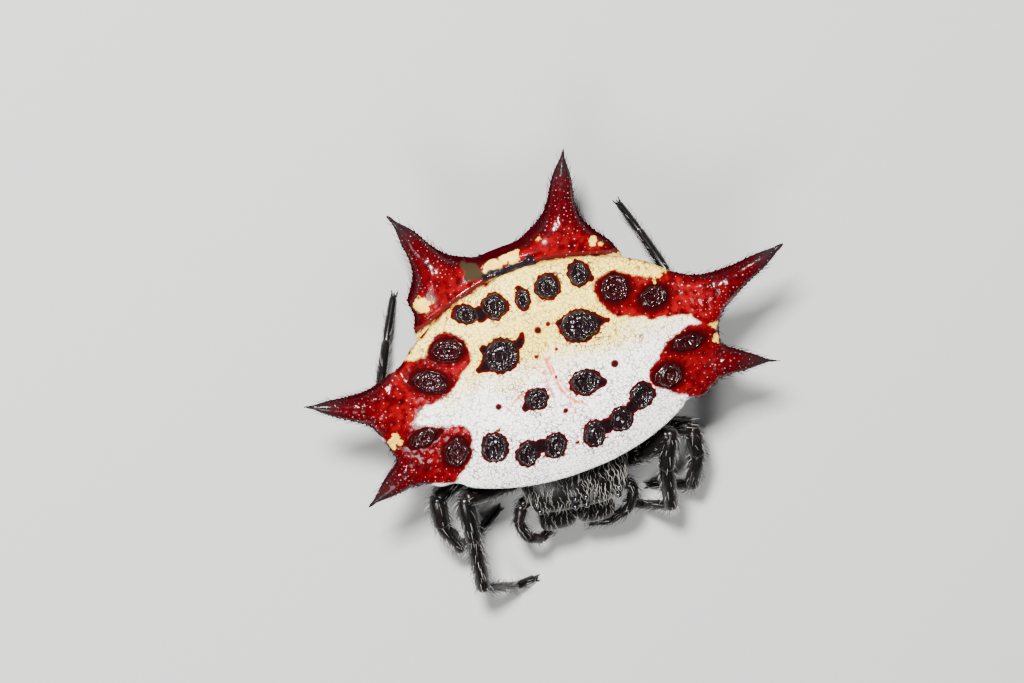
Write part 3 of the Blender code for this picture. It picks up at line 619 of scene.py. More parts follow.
vein = times(step(edge_of("vein", 0.40), 0.045, 0.012), step(cuticle.grain(0.25), 0.25, 0.55))
plate = paint(plate, vein, (0.56, 0.09, 0.02))
# The spines and the patches: blood red, maroon round the scars, black at the tips, and painted shade: darker
# maroon on steep sides
red_edge = edge_of("red")
red_mask = step(red_edge, 0.02, -0.02)
# Painted shade: bright red where the skin faces up, maroon on steep sides; the uneven tone and the darkening
# towards the tips are the cuticle's own
red_tone_and_painted_shade = times(step(stored("steep"), 0.45, 0.96), step(middling, 0.25, 0.65))
red_tone_and_painted_shade = times(red_tone_and_painted_shade, cuticle.sum(step(stored("tip"), 1.0, 3.2), 0.16))
reds = cuticle.blended(red_tone_and_painted_shade, (0.022, 0.0005, 0.0014), (0.155, 0.0004, 0.0022))
reds = paint(reds, step(scar_gap, 0.30, 0.12), (0.050, 0.0008, 0.0014))
reds = paint(reds, step(scar_gap, 0.17, 0.0), (0.014, 0.0010, 0.0014))
dark_tip = step(cuticle.sum(stored("tip"), times(middling, 0.7)), 1.45, 0.60)
reds = paint(reds, dark_tip, (0.012, 0.006, 0.007))
base = paint(plate, red_mask, reds)
brim = step(cuticle.sum(red_edge, 0.0, "ABSOLUTE"), 0.05, 0.01)
base = paint(base, times(brim, 0.6), (0.10, 0.004, 0.004))
cream_mask = step(edge_of("cream", 3.0), 0.04, -0.04)
creams = cuticle.blended(step(middling, 0.35, 0.6), (0.76, 0.40, 0.03), (0.84, 0.60, 0.09))
base = paint(base, cream_mask, creams)
olive_mask = step(edge_of("olive"), 0.02, -0.05)
base = paint(base, olive_mask, (0.026, 0.018, 0.009))
base = paint(base, step(stored("lip"), 0.016, 0.008), (0.06, 0.006, 0.005))
base = paint(base, step(stored("bump"), 0.03, -0.02), (0.007, 0.004, 0.006))
# The scars: near black, with a thin dark red outline
scar_edge = edge_of("scar", 0.45)
dot_edge = edge_of("dot", 0.25)
base = paint(base, times(step(scar_edge, 0.030, 0.012), less(1.0, red_mask)), (0.050, 0.0015, 0.002))
core = cuticle.blended(red_mask, (0.006, 0.0025, 0.003), (0.013, 0.0010, 0.0014))
base = paint(base, step(scar_edge, 0.0, -0.05), core)
base = paint(base, step(dot_edge, 0.03, 0.0), (0.12, 0.006, 0.004))
base = paint(base, step(dot_edge, -0.005, -0.03), (0.015, 0.004, 0.004))
# The belly: dark brown with pale yellow spots
belly_spots = step(cuticle.grain(0.55, 1.0), 0.66, 0.70)
belly = cuticle.blended(belly_spots, (0.016, 0.009, 0.007), (0.50, 0.36, 0.09))
base = paint(base, stored("under"), belly)
# Painted highlights: pale tops on some granules stand in for glints; they are on the granules alone
base = paint(base, stored("painted_glint"), (0.42, 0.26, 0.26))
# Red cuticle and the insides of scars are polished, and all else is matt
red_skin = most(less(red_mask, stored("under")), 0.0)
matt = most(most(olive_mask, cream_mask), stored("under"))
glossy = less(most(red_skin, step(stored("gap"), 0.03, -0.02)), matt)
marks = times(step(cuticle.sum(scar_edge, dot_edge, "MINIMUM"), 0.07, 0.04), step(stored("gap"), -0.02, 0.03))
no_shine = most(marks, olive_mask)
patchy = cuticle.sum(times(step(broad, 0.62, 0.50), 0.45), 0.55)
dull = most(times(times(red_skin, step(scar_edge, 0.0, 0.10)), patchy), no_shine)
no_shine = most(times(red_skin, step(stored("steep"), 0.70, 0.35)), no_shine)
shine = times(cuticle.between(dull, 0.38, 0.08), less(1.0, no_shine))
relief = less(cuticle.sum(fine, middling), times(cracks, 0.15))
relief = times(relief, less(0.6, times(glossy, 0.35)))
bump = cuticle.add("Bump", {"Height": relief, "Strength": 0.5, "Distance": 0.00001})
cuticle.feed(Base_Color=base, Specular_IOR_Level=shine, Roughness=cuticle.between(glossy, 0.50, 0.16))
cuticle.feed(Normal=bump.outputs["Normal"])


def show(name, mesh, finish, slot, *nodes):
    """Puts a finished mesh in the scene for the model's nodes that it stands for."""
    mesh.name = name
    mesh.materials.clear()
    mesh.materials.append(finish.material)
    mesh.shade_smooth()
    piece = bpy.data.objects.new(name, mesh)
    bpy.context.scene.collection.objects.link(piece)
    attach(piece, "root")
    if nodes:
        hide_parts(*nodes)


show("shell", shell_mesh, cuticle, "plate", "abdomen")

# Granules and bristles of the shell: the red cuticle carries close rows of low shiny granules, and a
# short black bristle that leans to the spine's tip stands at some of them, more on steep sides. They are
# grown from the cuticle.
GRANULE_SIZE = 0.026
GRANULE_SPACING = 0.132
SPINE_GRANULE_SPACING = 0.096
GRANULE_PROFILE = ((1.25, -0.3), (1.05, 0.15), (0.72, 0.55), (0.25, 0.80))  # radius, height
# share of granules whose tops are painted pale as a highlight
PAINTED_GLINT_GRANULES = 0.55
CELL = 0.2  # side of the boxes by which near neighbours are found
NEIGHBOURS = [(i, j, h) for i in (-1, 0, 1) for j in (-1, 0, 1) for h in (-1, 0, 1)]


def scattered(points, spacing, chosen, seed):
    """Picks places among the points that keep their spacing from one another."""
    picked, filled = [], {}
    for k in np.random.default_rng(seed).permutation(np.flatnonzero(chosen)):
        u, v, w = point = points[k]
        least = spacing[k] * spacing[k]
        cell = tuple((point // CELL).astype(int))
        boxes = (filled.get((cell[0] + i, cell[1] + j, cell[2] + h), ()) for i, j, h in NEIGHBOURS)
        near = [q for box in boxes for q in box]
        if all((u - q[0]) ** 2 + (v - q[1]) ** 2 + (w - q[2]) ** 2 > least for q in near):
            filled.setdefault(cell, []).append(point)
            picked.append(k)
    return np.array(picked)


def unit(vectors):
    return vectors / np.maximum(np.linalg.norm(vectors, axis=-1, keepdims=True), 1e-9)


def copies(shape, roots, normals, ways, sizes, lean):
    """One mesh with a copy of the shape at each root: its Z leans from the skin's normal towards the
    way, and the copy is made as large as its size. Each copy has its own small patch of the UV map,
    at its root's place on the skin laid out flat, the upper side beside the lower one."""
    co = coordinates(shape)
    ways = unit(ways - normals * (ways * normals).sum(1)[:, None])
    up = unit(normals * np.cos(lean)[:, None] + ways * np.sin(lean)[:, None])
    ahead = unit(ways - up * (ways * up).sum(1)[:, None])
    frames = np.stack((ahead, np.cross(up, ahead), up), axis=2) * sizes[:, None, None]
    placed = np.einsum("nij,mj->nmi", frames, co) + roots[:, None]
    faces = [list(p.vertices) for p in shape.polygons]
    faces = [[v + k * len(co) for v in face] for k in range(len(roots)) for face in faces]
    mesh = bpy.data.meshes.new("copies")
    mesh.from_pydata(placed.reshape(-1, 3), [], faces)
    spread = (co[:, [0, 2]] - co[:, [0, 2]].min(0)) / np.maximum(np.ptp(co[:, [0, 2]], axis=0), 1e-9)
    flat = roots[:, :2] / (34.0, 17.0) + (0.25, 0.5) + (normals[:, 2:] < 0) * np.array((0.5, 0.0))
    patches = (flat[:, None] + spread[None] * 0.003).reshape(-1, 2)
    corners = np.empty(len(mesh.loops), dtype=np.int64)
    mesh.loops.foreach_get("vertex_index", corners)
    mesh.uv_layers.new(name="OFBake").data.foreach_set("uv", patches[corners].ravel())
    return mesh


def shape_of(bm):
    """The bmesh as a mesh, its faces turned outwards."""
    mesh = bpy.data.meshes.new("shape")
    bmesh.ops.recalc_face_normals(bm, faces=bm.faces[:])
    bm.to_mesh(mesh)
    bm.free()
    return mesh


def along(origin, direction):
    """A matrix that puts a shape made along +Z at the origin, pointing in the direction."""
    turn = Vector(direction).to_track_quat("Z", "Y").to_matrix().to_4x4()
    return Matrix.Translation(Vector(origin)) @ turn


def tube(bm, path, radii, sides=24):
    """A closed tube through the path, with a radius at each point."""
    path = [Vector(p) for p in path]
    rings = []
    turn = along(path[0], path[1] - path[0]).to_quaternion()
    for k, (point, radius) in enumerate(zip(path, radii)):
        ahead = path[min(k + 1, len(path) - 1)] - path[max(k - 1, 0)]
        turn = (turn @ Vector((0, 0, 1))).rotation_difference(ahead) @ turn
        corners = [(radius * math.cos(a), radius * math.sin(a), 0) for a in turns(sides)]
        rings.append([point + turn @ Vector(corner) for corner in corners])
    skin_over(bm, rings)


def hair_shape(path, radii):
    """A bristle of three sides, 1 high."""
    hair = bmesh.new()
    tube(hair, path, radii, 3)
    return shape_of(hair)


granule = bmesh.new()
skin_over(granule, [[(r * math.cos(a), r * math.sin(a), h) for a in turns(8)] for r, h in GRANULE_PROFILE])
granule = shape_of(granule)
BEND = ((0, 0, -0.05), (0.04, 0, 0.35), (0.16, 0, 0.70), (0.34, 0, 1.0))
bristle = hair_shape(BEND, (0.038, 0.034, 0.024, 0.006))
fine_bristle = hair_shape(BEND, (0.024, 0.022, 0.017, 0.005))
WAVY_BEND = ((0, 0, -0.05), (0.02, 0.05, 0.2), (0.05, -0.03, 0.42), (0.08, 0.06, 0.68), (0.14, 0.01, 1.0))
wavy_bristle = hair_shape(WAVY_BEND, (0.015, 0.015, 0.014, 0.012, 0.005))

nearest_tip = np.zeros((len(co), 3))
closest = np.full(len(co), FAR)
for root, way, tip, free, half_height in SPINES.values():
    away = np.linalg.norm(co - np.array(tip), axis=1) - free
    nearest_tip = np.where((away < closest)[:, None], np.array(tip), nearest_tip)
    closest = np.minimum(closest, away)
on_red = (np.where(under < 0.5, red, ABSENT) < -0.05) & (cream > 0.03) & (olive > 0.03)
on_red &= kept["scar"] > 0.1
spacing = np.where(closest < 0.3, SPINE_GRANULE_SPACING, GRANULE_SPACING)
picked = scattered(co, spacing, on_red & (tip_gap > 0.12), 3)
rng = np.random.default_rng(5)
roots, facing, ways = co[picked], normals[picked], nearest_tip[picked] - co[picked]
sizes = GRANULE_SIZE * rng.uniform(0.55, 1.35, len(picked)) * np.clip(tip_gap[picked] / 0.8, 0.55, 1.0)
granules = copies(granule, roots, facing, ways, sizes, np.full(len(picked), 0.3))
for name, values in kept.items():
    store(granules, name, np.repeat(values[picked], len(granule.vertices)))
# Painted highlight: a pale top on some granules, fewer where they face sideways, stands in for a glint
pale = (rng.random(len(picked)) < PAINTED_GLINT_GRANULES) * rng.uniform(0.1, 1.0, len(picked))
pale *= ramp(facing[:, 2], 0.25, 0.8)
store(granules, "painted_glint", np.outer(pale, ramp(coordinates(granule)[:, 2], 0.5, 0.8)).ravel())
place(granules)
show("shell_granules", granules, cuticle, "plate")

horn = Finish("bristle", 0.55, shine=0.15)
horn.feed(Base_Color=horn.blended(horn.stored("pale"), (0.004, 0.003, 0.003), (0.80, 0.76, 0.68)))
steepness = ramp(-np.abs(facing[:, 2]), -0.8, -0.4)
hairy = rng.random(len(picked)) < 0.30 + 0.35 * steepness
lengths = rng.uniform(0.11, 0.16, len(picked)) + 0.07 * steepness
leans = rng.uniform(0.55, 1.0, hairy.sum())
hairs = copies(bristle, roots[hairy], facing[hairy], ways[hairy], lengths[hairy], leans)
place(hairs)
show("shell_bristles", hairs, horn, "black_cuticle")

# The spinnerets: six short cones in a ring on a low collar under the belly, of thin brown cuticle.
# They grow out of the collar, which sits on the belly's end.
COLLAR = Vector((0, 0.62, -3.02))
# depth below the belly, radius
COLLAR_RINGS = ((0.0, 0.5), (0.1, 0.66), (0.3, 0.64), (0.42, 0.58), (0.5, 0.44), (0.53, 0.2))
SPINNERETS = 6
SPINNERET_RING = 0.27
# distance from its root, radius
SPINNERET_STATIONS = (
    (0, 0.14), (0.12, 0.16), (0.22, 0.155), (0.24, 0.14), (0.27, 0.15), (0.36, 0.12), (0.43, 0.075),
    (0.46, 0.03),
)


def finished(bm):
    """The bmesh as a mesh, at its place over the floor."""
    mesh = shape_of(bm)
    place(mesh)
    return mesh


spinner = bmesh.new()
tube(spinner, [COLLAR + Vector((0, 0, -d)) for d, _ in COLLAR_RINGS], [r for _, r in COLLAR_RINGS], 40)
for a in turns(SPINNERETS, 0.5):
    out = Vector((math.cos(a), math.sin(a), 0))
    root = COLLAR + out * SPINNERET_RING + Vector((0, 0, -0.36))
    lean = (Vector((0, 0, -1)) - out * 0.30).normalized()
    tube(spinner, [root + lean * s for s, _ in SPINNERET_STATIONS], [r for _, r in SPINNERET_STATIONS], 20)
brown = Finish("spinneret cuticle", 0.45)
tan = brown.blended(brown.step(brown.grain(0.1), 0.3, 0.7), (0.03, 0.016, 0.011), (0.075, 0.04, 0.025))
brown.feed(Base_Color=tan)
show("spinnerets_skin", finished(spinner), brown, "brown_cuticle", "spinnerets")

# The head and chest: one low black shield (the carapace) over a sternum, joined to the shell by a
# thin stalk. It is made at the waist, facing -Y, then turned a little about the waist.
WAIST = Matrix.Translation((0.143, -1.204, 0)) @ Matrix.Rotation(math.radians(-10), 4, "Z")
# distance in front of the waist, half width, height of the top
CARAPACE = (
    (0.06, 0.20, -1.74), (0.16, 0.50, -1.64), (0.30, 0.80, -1.55), (0.45, 0.98, -1.47), (0.70, 1.18, -1.36),
    (0.98, 1.34, -1.27), (1.30, 1.43, -1.19), (1.62, 1.48, -1.12), (1.90, 1.48, -1.07), (2.18, 1.46, -1.03),
    (2.40, 1.42, -1.02), (2.60, 1.36, -1.04), (2.78, 1.28, -1.08), (2.90, 1.20, -1.14), (3.02, 1.10, -1.22),
    (3.10, 1.00, -1.30), (3.16, 0.84, -1.40),
)
CARAPACE_RIM = -1.57
CARAPACE_BELOW = -1.80
# the sternum's half width and half length, its distance in front of the waist, and its rings:
# share of its reach, height
STERNUM_WIDE, STERNUM_LONG, STERNUM_AHEAD = 0.80, 1.02, 1.32
STERNUM = (
    (0.9, -1.62), (1.0, -1.70), (1.0, -2.12), (0.97, -2.28), (0.90, -2.40), (0.76, -2.48), (0.5, -2.52),
    (0.2, -2.53),
)
# half spacing, distance in front of the waist, height of each pair of eyes
EYES = {
    "front_median": (0.15, 3.03, -1.13), "rear_median": (0.14, 2.77, -0.98),
    "front_side": (1.07, 3.05, -1.42), "rear_side": (1.12, 2.83, -1.36),
}
# the face, the mouthparts, and the mounds under the middle and the side eyes: place and radii
MOUNDS = (
    ((0, 2.98, -1.80), (0.42, 0.24, 0.34)), ((0, 3.05, -2.30), (0.42, 0.30, 0.42)),
    ((0, 2.62, -1.20), (0.36, 0.42, 0.21)), ((1.05, 2.80, -1.48), (0.20, 0.32, 0.17)),
    ((-1.05, 2.80, -1.48), (0.20, 0.32, 0.17)),
)


def head(x, ahead, z):
    """A place given from the waist, as a place in the spider."""
    return WAIST @ Vector((x, -ahead, z))


chest = bmesh.new()
rings = []
for ahead, half_width, top in CARAPACE:
    rim = min(CARAPACE_RIM, top - 0.06)
    points = []
    for a in turns(72, 0.5):
        x = half_width * math.copysign(abs(math.cos(a)) ** 0.85, math.cos(a))
        rise = top - rim if math.sin(a) >= 0 else rim - CARAPACE_BELOW
        z = rim + rise * math.copysign(abs(math.sin(a)) ** 0.9, math.sin(a))
        points.append(head(x, ahead, z))
    rings.append(points)
skin_over(chest, rings)
edge = [outline(STERNUM_WIDE, STERNUM_LONG, STERNUM_LONG, a) for a in turns(64)]
skin_over(chest, [[head(share * x, STERNUM_AHEAD - share * y, z) for x, y in edge] for share, z in STERNUM])
stalk = (head(0, 0.6, -1.96), head(0, 0.2, -2.0), (0.1, -1.0, -2.02), (0.05, -0.5, -2.02))
tube(chest, stalk, (0.34, 0.24, 0.22, 0.30), 32)
for (x, ahead, z), radii in MOUNDS:
    mound(chest, WAIST @ Matrix.Translation((x, -ahead, z)), radii)
chest = shape_of(merged(chest, 0.032, 5))

# Fine relief: the uneven surface of black cuticle, as a normal
RELIEF, given, result = effect("fine relief", ("Fine Scale", "Broad Scale", "Strength"), "Normal")
where = add(RELIEF, "TexCoord").outputs["Object"]
fine = add(RELIEF, "TexNoise", {"Vector": where, "Scale": given["Fine Scale"], "Detail": 2.0})
broad = add(RELIEF, "TexNoise", {"Vector": where, "Scale": given["Broad Scale"], "Detail": 2.0})
height = add(RELIEF, "Math", {0: fine.outputs["Fac"], 1: broad.outputs["Fac"]}, operation="ADD").outputs[0]
bump = add(RELIEF, "Bump", {"Height": height, "Strength": given["Strength"], "Distance": 0.00001})
RELIEF.links.new(bump.outputs["Normal"], result.inputs["Normal"])


def roughen(finish, fine, broad, strength):
    """Gives a finish the fine relief, with features of the two sizes in millimetres."""
    feeds = {"Fine Scale": 1000.0 / fine, "Broad Scale": 1000.0 / broad, "Strength": strength}
    finish.feed(Normal=finish.add("Group", feeds, node_tree=RELIEF).outputs["Normal"])


head_black = Finish("head cuticle", 0.32, shine=0.16)
roughen(head_black, 0.05, 0.2, 0.4)
shade = head_black.blended(head_black.grain(0.3), (0.001, 0.0008, 0.0008), (0.003, 0.002, 0.0018))
head_black.feed(Base_Color=shade)
ahead_of = np.array((WAIST.to_3x3() @ Vector((0, -1, 0)))[:])
aside = np.array((WAIST.to_3x3() @ Vector((1, 0, 0)))[:])


def coat(name, skin, hair, seed, ways, chosen, spacing, lengths, leans, pale):
    """Bristles spread over a skin that is still in millimetres: they lean towards the ways."""
    rng = np.random.default_rng(seed)
    points, facing = coordinates(skin), coordinates(skin, "normal")
    skin.calc_loop_triangles()
    corners = np.empty(len(skin.loop_triangles) * 3, dtype=np.int64)
    skin.loop_triangles.foreach_get("vertices", corners)
    corners = corners.reshape(-1, 3)
    a, b, c = (points[corners[:, k]] for k in range(3))
    area = np.linalg.norm(np.cross(b - a, c - a), axis=1) / 2
    count = int(3.0 * area.sum() / spacing**2)
    drawn = rng.choice(len(area), count, p=area / area.sum())
    shares = rng.dirichlet((1, 1, 1), count)
    points = (points[corners[drawn]] * shares[:, :, None]).sum(1)
    facing = unit((facing[corners[drawn]] * shares[:, :, None]).sum(1))
    picked = scattered(points, np.full(count, spacing), chosen(points, facing), seed)
    points, facing = points[picked], facing[picked]
    toward = ways(points) + rng.normal(0, 0.12, points.shape)
    sizes = rng.uniform(*lengths, len(picked))
    hairs = copies(hair, points, facing, toward, sizes, rng.uniform(*leans, len(picked)))
    light = (rng.random(len(picked)) < pale) * rng.uniform(0.10, 0.55, len(picked))
    store(hairs, "pale", np.repeat(light, len(hair.vertices)))
    place(hairs)
    show(name, hairs, horn, "black_cuticle")


def forwards(points):
    """Ahead over the shield, in waves from side to side."""
    sway = 0.35 * np.sin(9 * (points @ ahead_of) + 3 * (points @ aside))
    return ahead_of + aside * sway[:, None] + np.array((0, 0, -0.2))


def over_shield(points, facing):
    """The upper side of the shield, clear of the eyes."""
    eyes = [head(sign * x, ahead, z) for x, ahead, z in EYES.values() for sign in (1, -1)]
    clear = np.min([np.linalg.norm(points - np.array(eye), axis=1) for eye in eyes], axis=0)
    ahead = (points - np.array(WAIST.translation)) @ ahead_of
    above = (points[:, 2] > -1.66) & (facing[:, 2] > -0.2)
    return above & (clear > 0.16) & (points[:, 1] < -1.9) & (ahead < 3.04)


coat(
    "head_hairs", chest, wavy_bristle, 21, forwards, over_shield,
    spacing=0.090, lengths=(0.26, 0.42), leans=(1.25, 1.42), pale=0.70,
)
place(chest)
show("head_skin", chest, head_black, "black_cuticle", "cephalothorax")

# The eyes: eight smooth dark domes of clear cuticle, two pairs on the middle mound and a pair on a
# mound at each side. Each is a ball of which half stands out of the skin.
EYE_RADIUS = 0.085
lens = Finish("eye lens", 0.04, (0.006, 0.005, 0.006))
lens.inputs["Coat Weight"].default_value = 0.6
for pair, (spacing, ahead, z) in EYES.items():
    for side, sign in (("left", 1), ("right", -1)):
        ball = bmesh.new()
        bmesh.ops.create_icosphere(ball, subdivisions=4, radius=EYE_RADIUS)
        bmesh.ops.translate(ball, vec=head(sign * spacing, ahead, z), verts=ball.verts[:])
        show("lens_%s_%s" % (pair, side), finished(ball), lens, "eye", "eye_%s_%s" % (pair, side))

# The jaws: two stout swollen segments that hang side by side below the face, each with a thin
# curved fang folded inwards under it. Black cuticle, bristly in front.
# half spacing, distance in front of the waist, height, half width, half depth
JAW = (
    (0.47, 2.98, -1.82, 0.32, 0.20), (0.50, 3.12, -1.89, 0.43, 0.32), (0.515, 3.28, -1.99, 0.49, 0.40),
    (0.52, 3.40, -2.12, 0.51, 0.44), (0.52, 3.47, -2.27, 0.51, 0.45), (0.52, 3.49, -2.43, 0.50, 0.44),
    (0.51, 3.48, -2.57, 0.48, 0.41), (0.48, 3.45, -2.69, 0.42, 0.36), (0.45, 3.42, -2.79, 0.35, 0.31),
    (0.42, 3.38, -2.88, 0.26, 0.25), (0.38, 3.34, -2.94, 0.15, 0.16),
)
# half spacing, distance in front of the waist, height, radius
FANG = (
    (0.40, 3.34, -2.84, 0.15), (0.37, 3.33, -2.94, 0.14), (0.33, 3.30, -3.03, 0.11),
    (0.28, 3.27, -3.10, 0.08), (0.23, 3.24, -3.16, 0.05), (0.18, 3.21, -3.20, 0.018),
)
for side, sign in (("left", 1), ("right", -1)):
    jaw = bmesh.new()
    rings = []
    for x, ahead, z, wide, deep in JAW:
        edge = [outline(wide, deep, deep, a, 3.6, 3.6) for a in turns(40)]
        rings.append([head(sign * x + u, ahead + v, z) for u, v in edge])
    skin_over(jaw, rings)
    tube(jaw, [head(sign * x, ahead, z) for x, ahead, z, _ in FANG], [r for *_, r in FANG], 20)
    jaw = shape_of(jaw)

    def down_the_jaw(points):
        return ahead_of * 0.35 + np.array((0, 0, -1.0)) - aside * sign * 0.15

    def on_front(points, facing):
        return (points[:, 2] > -2.85) & (facing @ ahead_of > -0.35)

    coat(
        "jaw_hairs_" + side, jaw, wavy_bristle, 31 + sign, down_the_jaw, on_front,
        spacing=0.092, lengths=(0.16, 0.28), leans=(1.05, 1.35), pale=0.5,
    )
    place(jaw)
    show("jaw_" + side, jaw, head_black, "black_cuticle", "chelicera_" + side)

# The legs and the two palps: jointed tubes of glossy black cuticle with bristles. Each segment
# narrows where a thin membrane joins it to the next one, and bulges between.
# where the coxa leaves the sternum (from the waist), the way it points, and where the femur bends
COXAE = {
    1: (1.00, 2.10, 24.0, (0.34, -0.12, 0.46)), 2: (1.10, 1.42, 8.0, (0.45, 0.04, 0.02)),
    3: (1.03, 0.75, -20.0, (0.30, -0.02, -0.04)), 4: (0.66, 0.17, -36.0, (0.45, -0.05, -0.14)),
}
COXA_HEIGHT = -2.28
COXA_LENGTH = 0.60
TOE = FLOOR + 0.06
# knee, end of the patella, end of the tibia, end of the metatarsus, toe
LEGS = {
    "leg_1_left": (
        (2.51, -3.17, -1.10), (2.12, -4.22, -1.50), (1.94, -5.51, -2.20), (1.46, -5.70, -3.60),
        (1.10, -5.66, TOE),
    ),
    "leg_1_right": (
        (-3.23, -2.79, -1.05), (-3.35, -4.08, -1.40), (-3.50, -5.69, -2.20), (-2.60, -6.50, -3.65),
        (-2.05, -6.64, TOE),
    ),
    "leg_2_left": (
        (3.17, -3.60, -2.05), (3.10, -4.44, -2.28), (2.74, -5.44, -2.95), (2.20, -5.46, -3.80),
        (1.78, -5.38, TOE),
    ),
    "leg_2_right": (
        (-3.83, -2.79, -2.05), (-3.94, -3.64, -2.28), (-3.66, -4.64, -2.85), (-2.88, -4.64, -3.75),
        (-2.32, -4.46, TOE),
    ),
    "leg_3_left": (
        (2.45, -2.12, -2.46), (2.98, -1.72, -2.66), (3.42, -1.30, -3.24), (3.66, -1.02, -3.80),
        (3.80, -0.80, TOE),
    ),
    "leg_3_right": (
        (-2.45, -1.75, -2.48), (-2.98, -1.52, -2.68), (-3.42, -1.22, -3.26), (-3.66, -0.98, -3.80),
        (-3.80, -0.78, TOE),
    ),
    "leg_4_left": (
        (2.70, -1.05, -2.72), (3.44, -0.50, -2.52), (4.02, 0.52, -2.72), (3.78, 1.55, -3.50),
        (3.58, 2.26, TOE),
    ),
    "leg_4_right": (
        (-2.75, -0.82, -2.78), (-3.52, -0.38, -2.56), (-4.16, 0.44, -2.72), (-3.54, 1.28, -3.50),
        (-2.92, 2.16, TOE),
    ),
}
# radius of coxa, femur, patella, tibia, metatarsus and tarsus
LEG_RADII = {
    1: (0.25, 0.27, 0.245, 0.220, 0.145, 0.120), 2: (0.25, 0.27, 0.245, 0.220, 0.145, 0.120),
    3: (0.21, 0.20, 0.180, 0.155, 0.125, 0.110), 4: (0.21, 0.21, 0.170, 0.145, 0.128, 0.108),
}
limb_black = Finish("limb cuticle", 0.26, shine=0.3)
roughen(limb_black, 0.06, 0.25, 0.3)
patches = limb_black.step(limb_black.grain(0.5), 0.45, 0.7)
limb_black.feed(Base_Color=limb_black.blended(patches, (0.002, 0.0017, 0.0016), (0.005, 0.003, 0.0024)))


def segment(bm, start, end, radius, ends=(0.80, 0.92)):
    """One segment of a limb, between the middles of its joints. Its ends are shares of its radius."""
    near, far = ends
    stations = (
        (-0.08, 0.35), (-0.05, 0.62), (0.0, near), (0.06, near + 0.07), (0.16, 0.97), (0.30, 1.02),
        (0.45, 1.0), (0.60, 0.96), (0.75, 0.93), (0.88, far), (0.96, far * 0.98), (1.0, far * 0.86),
        (1.03, far * 0.5),
    )
    path = [Vector(start).lerp(Vector(end), t) for t, _ in stations]
    tube(bm, path, [radius * share for _, share in stations], 20)


def down_the_limb(path):
    """The way along a limb at any place near it."""
    ends = [(np.array(a), np.array(b)) for a, b in zip(path, path[1:])]

    def ways(points):
        best, out = np.full(len(points), FAR), np.zeros_like(points)
        for near, far in ends:
            line = far - near
            t = np.clip((points - near) @ line / (line @ line), 0, 1)
            away = np.linalg.norm(points - near - t[:, None] * line, axis=1)
            out = np.where((away < best)[:, None], unit(line), out)
            best = np.minimum(best, away)
        return out

    return ways


def claws(bm, near, toe):
    """Two small hooked claws and a third between them at the end of a toe."""
    ahead = (toe - near).normalized()
    level = Vector((ahead.x, ahead.y, 0)).normalized()
    across = Vector((-level.y, level.x, 0))
    for side, reach in ((0.045, 0.17), (-0.045, 0.17), (0.0, 0.12)):
        root = toe + across * side + level * 0.02 + Vector((0, 0, 0.005))
        hook = []
        for t in (0, 0.3, 0.6, 0.85, 1.0):
            rise = Vector((0, 0, 0.06 * t * (1 - 1.7 * t)))
            hook.append(root + level * reach * t + rise + across * side * t)
        tube(bm, hook, (0.028, 0.026, 0.020, 0.013, 0.004), 8)


def trim_at_floor(bm):
    """Cuts off what would be below the floor and closes the cut."""
    parts = bm.verts[:] + bm.edges[:] + bm.faces[:]
    level = {"plane_co": (0, 0, FLOOR), "plane_no": (0, 0, -1)}
    cut = bmesh.ops.bisect_plane(bm, geom=parts, clear_outer=True, **level)
    rim = [e for e in cut["geom_cut"] if isinstance(e, bmesh.types.BMEdge)]
    bmesh.ops.holes_fill(bm, edges=rim, sides=0)


for name, joints in LEGS.items():
    pair = int(name[4])
    sign = 1 if name.endswith("left") else -1
    x, ahead, way, (out, forward, up) = COXAE[pair]
    radii = LEG_RADII[pair]
    start = head(sign * x, ahead, COXA_HEIGHT)
    x += COXA_LENGTH * math.cos(math.radians(way))
    ahead += COXA_LENGTH * math.sin(math.radians(way))
    hip = head(sign * x, ahead, COXA_HEIGHT)
    bend = head(sign * (x + out), ahead + forward, COXA_HEIGHT + up)
    leg = bmesh.new()
    segment(leg, start + (start - hip) * 0.3, hip, radii[0])
    path = [hip, bend] + [Vector(p) for p in joints]
    segment(leg, hip, bend, radii[1] * 0.95, ends=(0.85, 0.85))
    for near, far, radius in zip(path[1:], path[2:], radii[1:]):
        segment(leg, near, far, radius)
    claws(leg, path[-2], path[-1])
    trim_at_floor(leg)
    leg = shape_of(leg)

    def clear_of_shell(points, facing):
        share = plate_share(points[:, 0], points[:, 1])
        return (points[:, 2] > FLOOR + 0.27) & (share > 0.75 - 0.2 * pair // 4)

    coat(
        name + "_hairs", leg, fine_bristle, 40 + pair * 2 + sign, down_the_limb(path), clear_of_shell,
        spacing=0.080, lengths=(0.14, 0.28), leans=(0.50, 1.20), pale=0.30,
    )
    place(leg)
    show(name + "_skin", leg, limb_black, "black_cuticle", name)

# from the waist: half spacing, distance ahead, height
PALPS = {
    "left": (
        (0.95, 2.78, -2.17), (1.46, 2.93, -2.05), (1.60, 3.24, -2.12), (1.42, 3.78, -2.36),
        (0.94, 4.10, -2.70), (0.36, 4.12, -2.96),
    ),
    "right": (
        (-0.95, 2.78, -2.17), (-1.46, 2.97, -2.05), (-1.60, 3.45, -2.12), (-1.40, 3.99, -2.36),
        (-1.00, 4.22, -2.72), (-0.68, 4.14, -3.00),
    ),
}
PALP_RADII = (0.17, 0.165, 0.15, 0.145, 0.13)


def all_over(points, facing):
    return np.ones(len(points), dtype=bool)


for side, joints in PALPS.items():
    palp = bmesh.new()
    path = [head(*p) for p in joints]
    for near, far, radius in zip(path, path[1:], PALP_RADII):
        segment(palp, near, far, radius)
    palp = shape_of(palp)
    coat(
        "palp_hairs_" + side, palp, fine_bristle, 61 + len(side), down_the_limb(path), all_over,
        spacing=0.060, lengths=(0.14, 0.27), leans=(0.60, 1.15), pale=0.12,
    )
    place(palp)
    show("palp_" + side, palp, limb_black, "black_cuticle", "pedipalp_" + side)
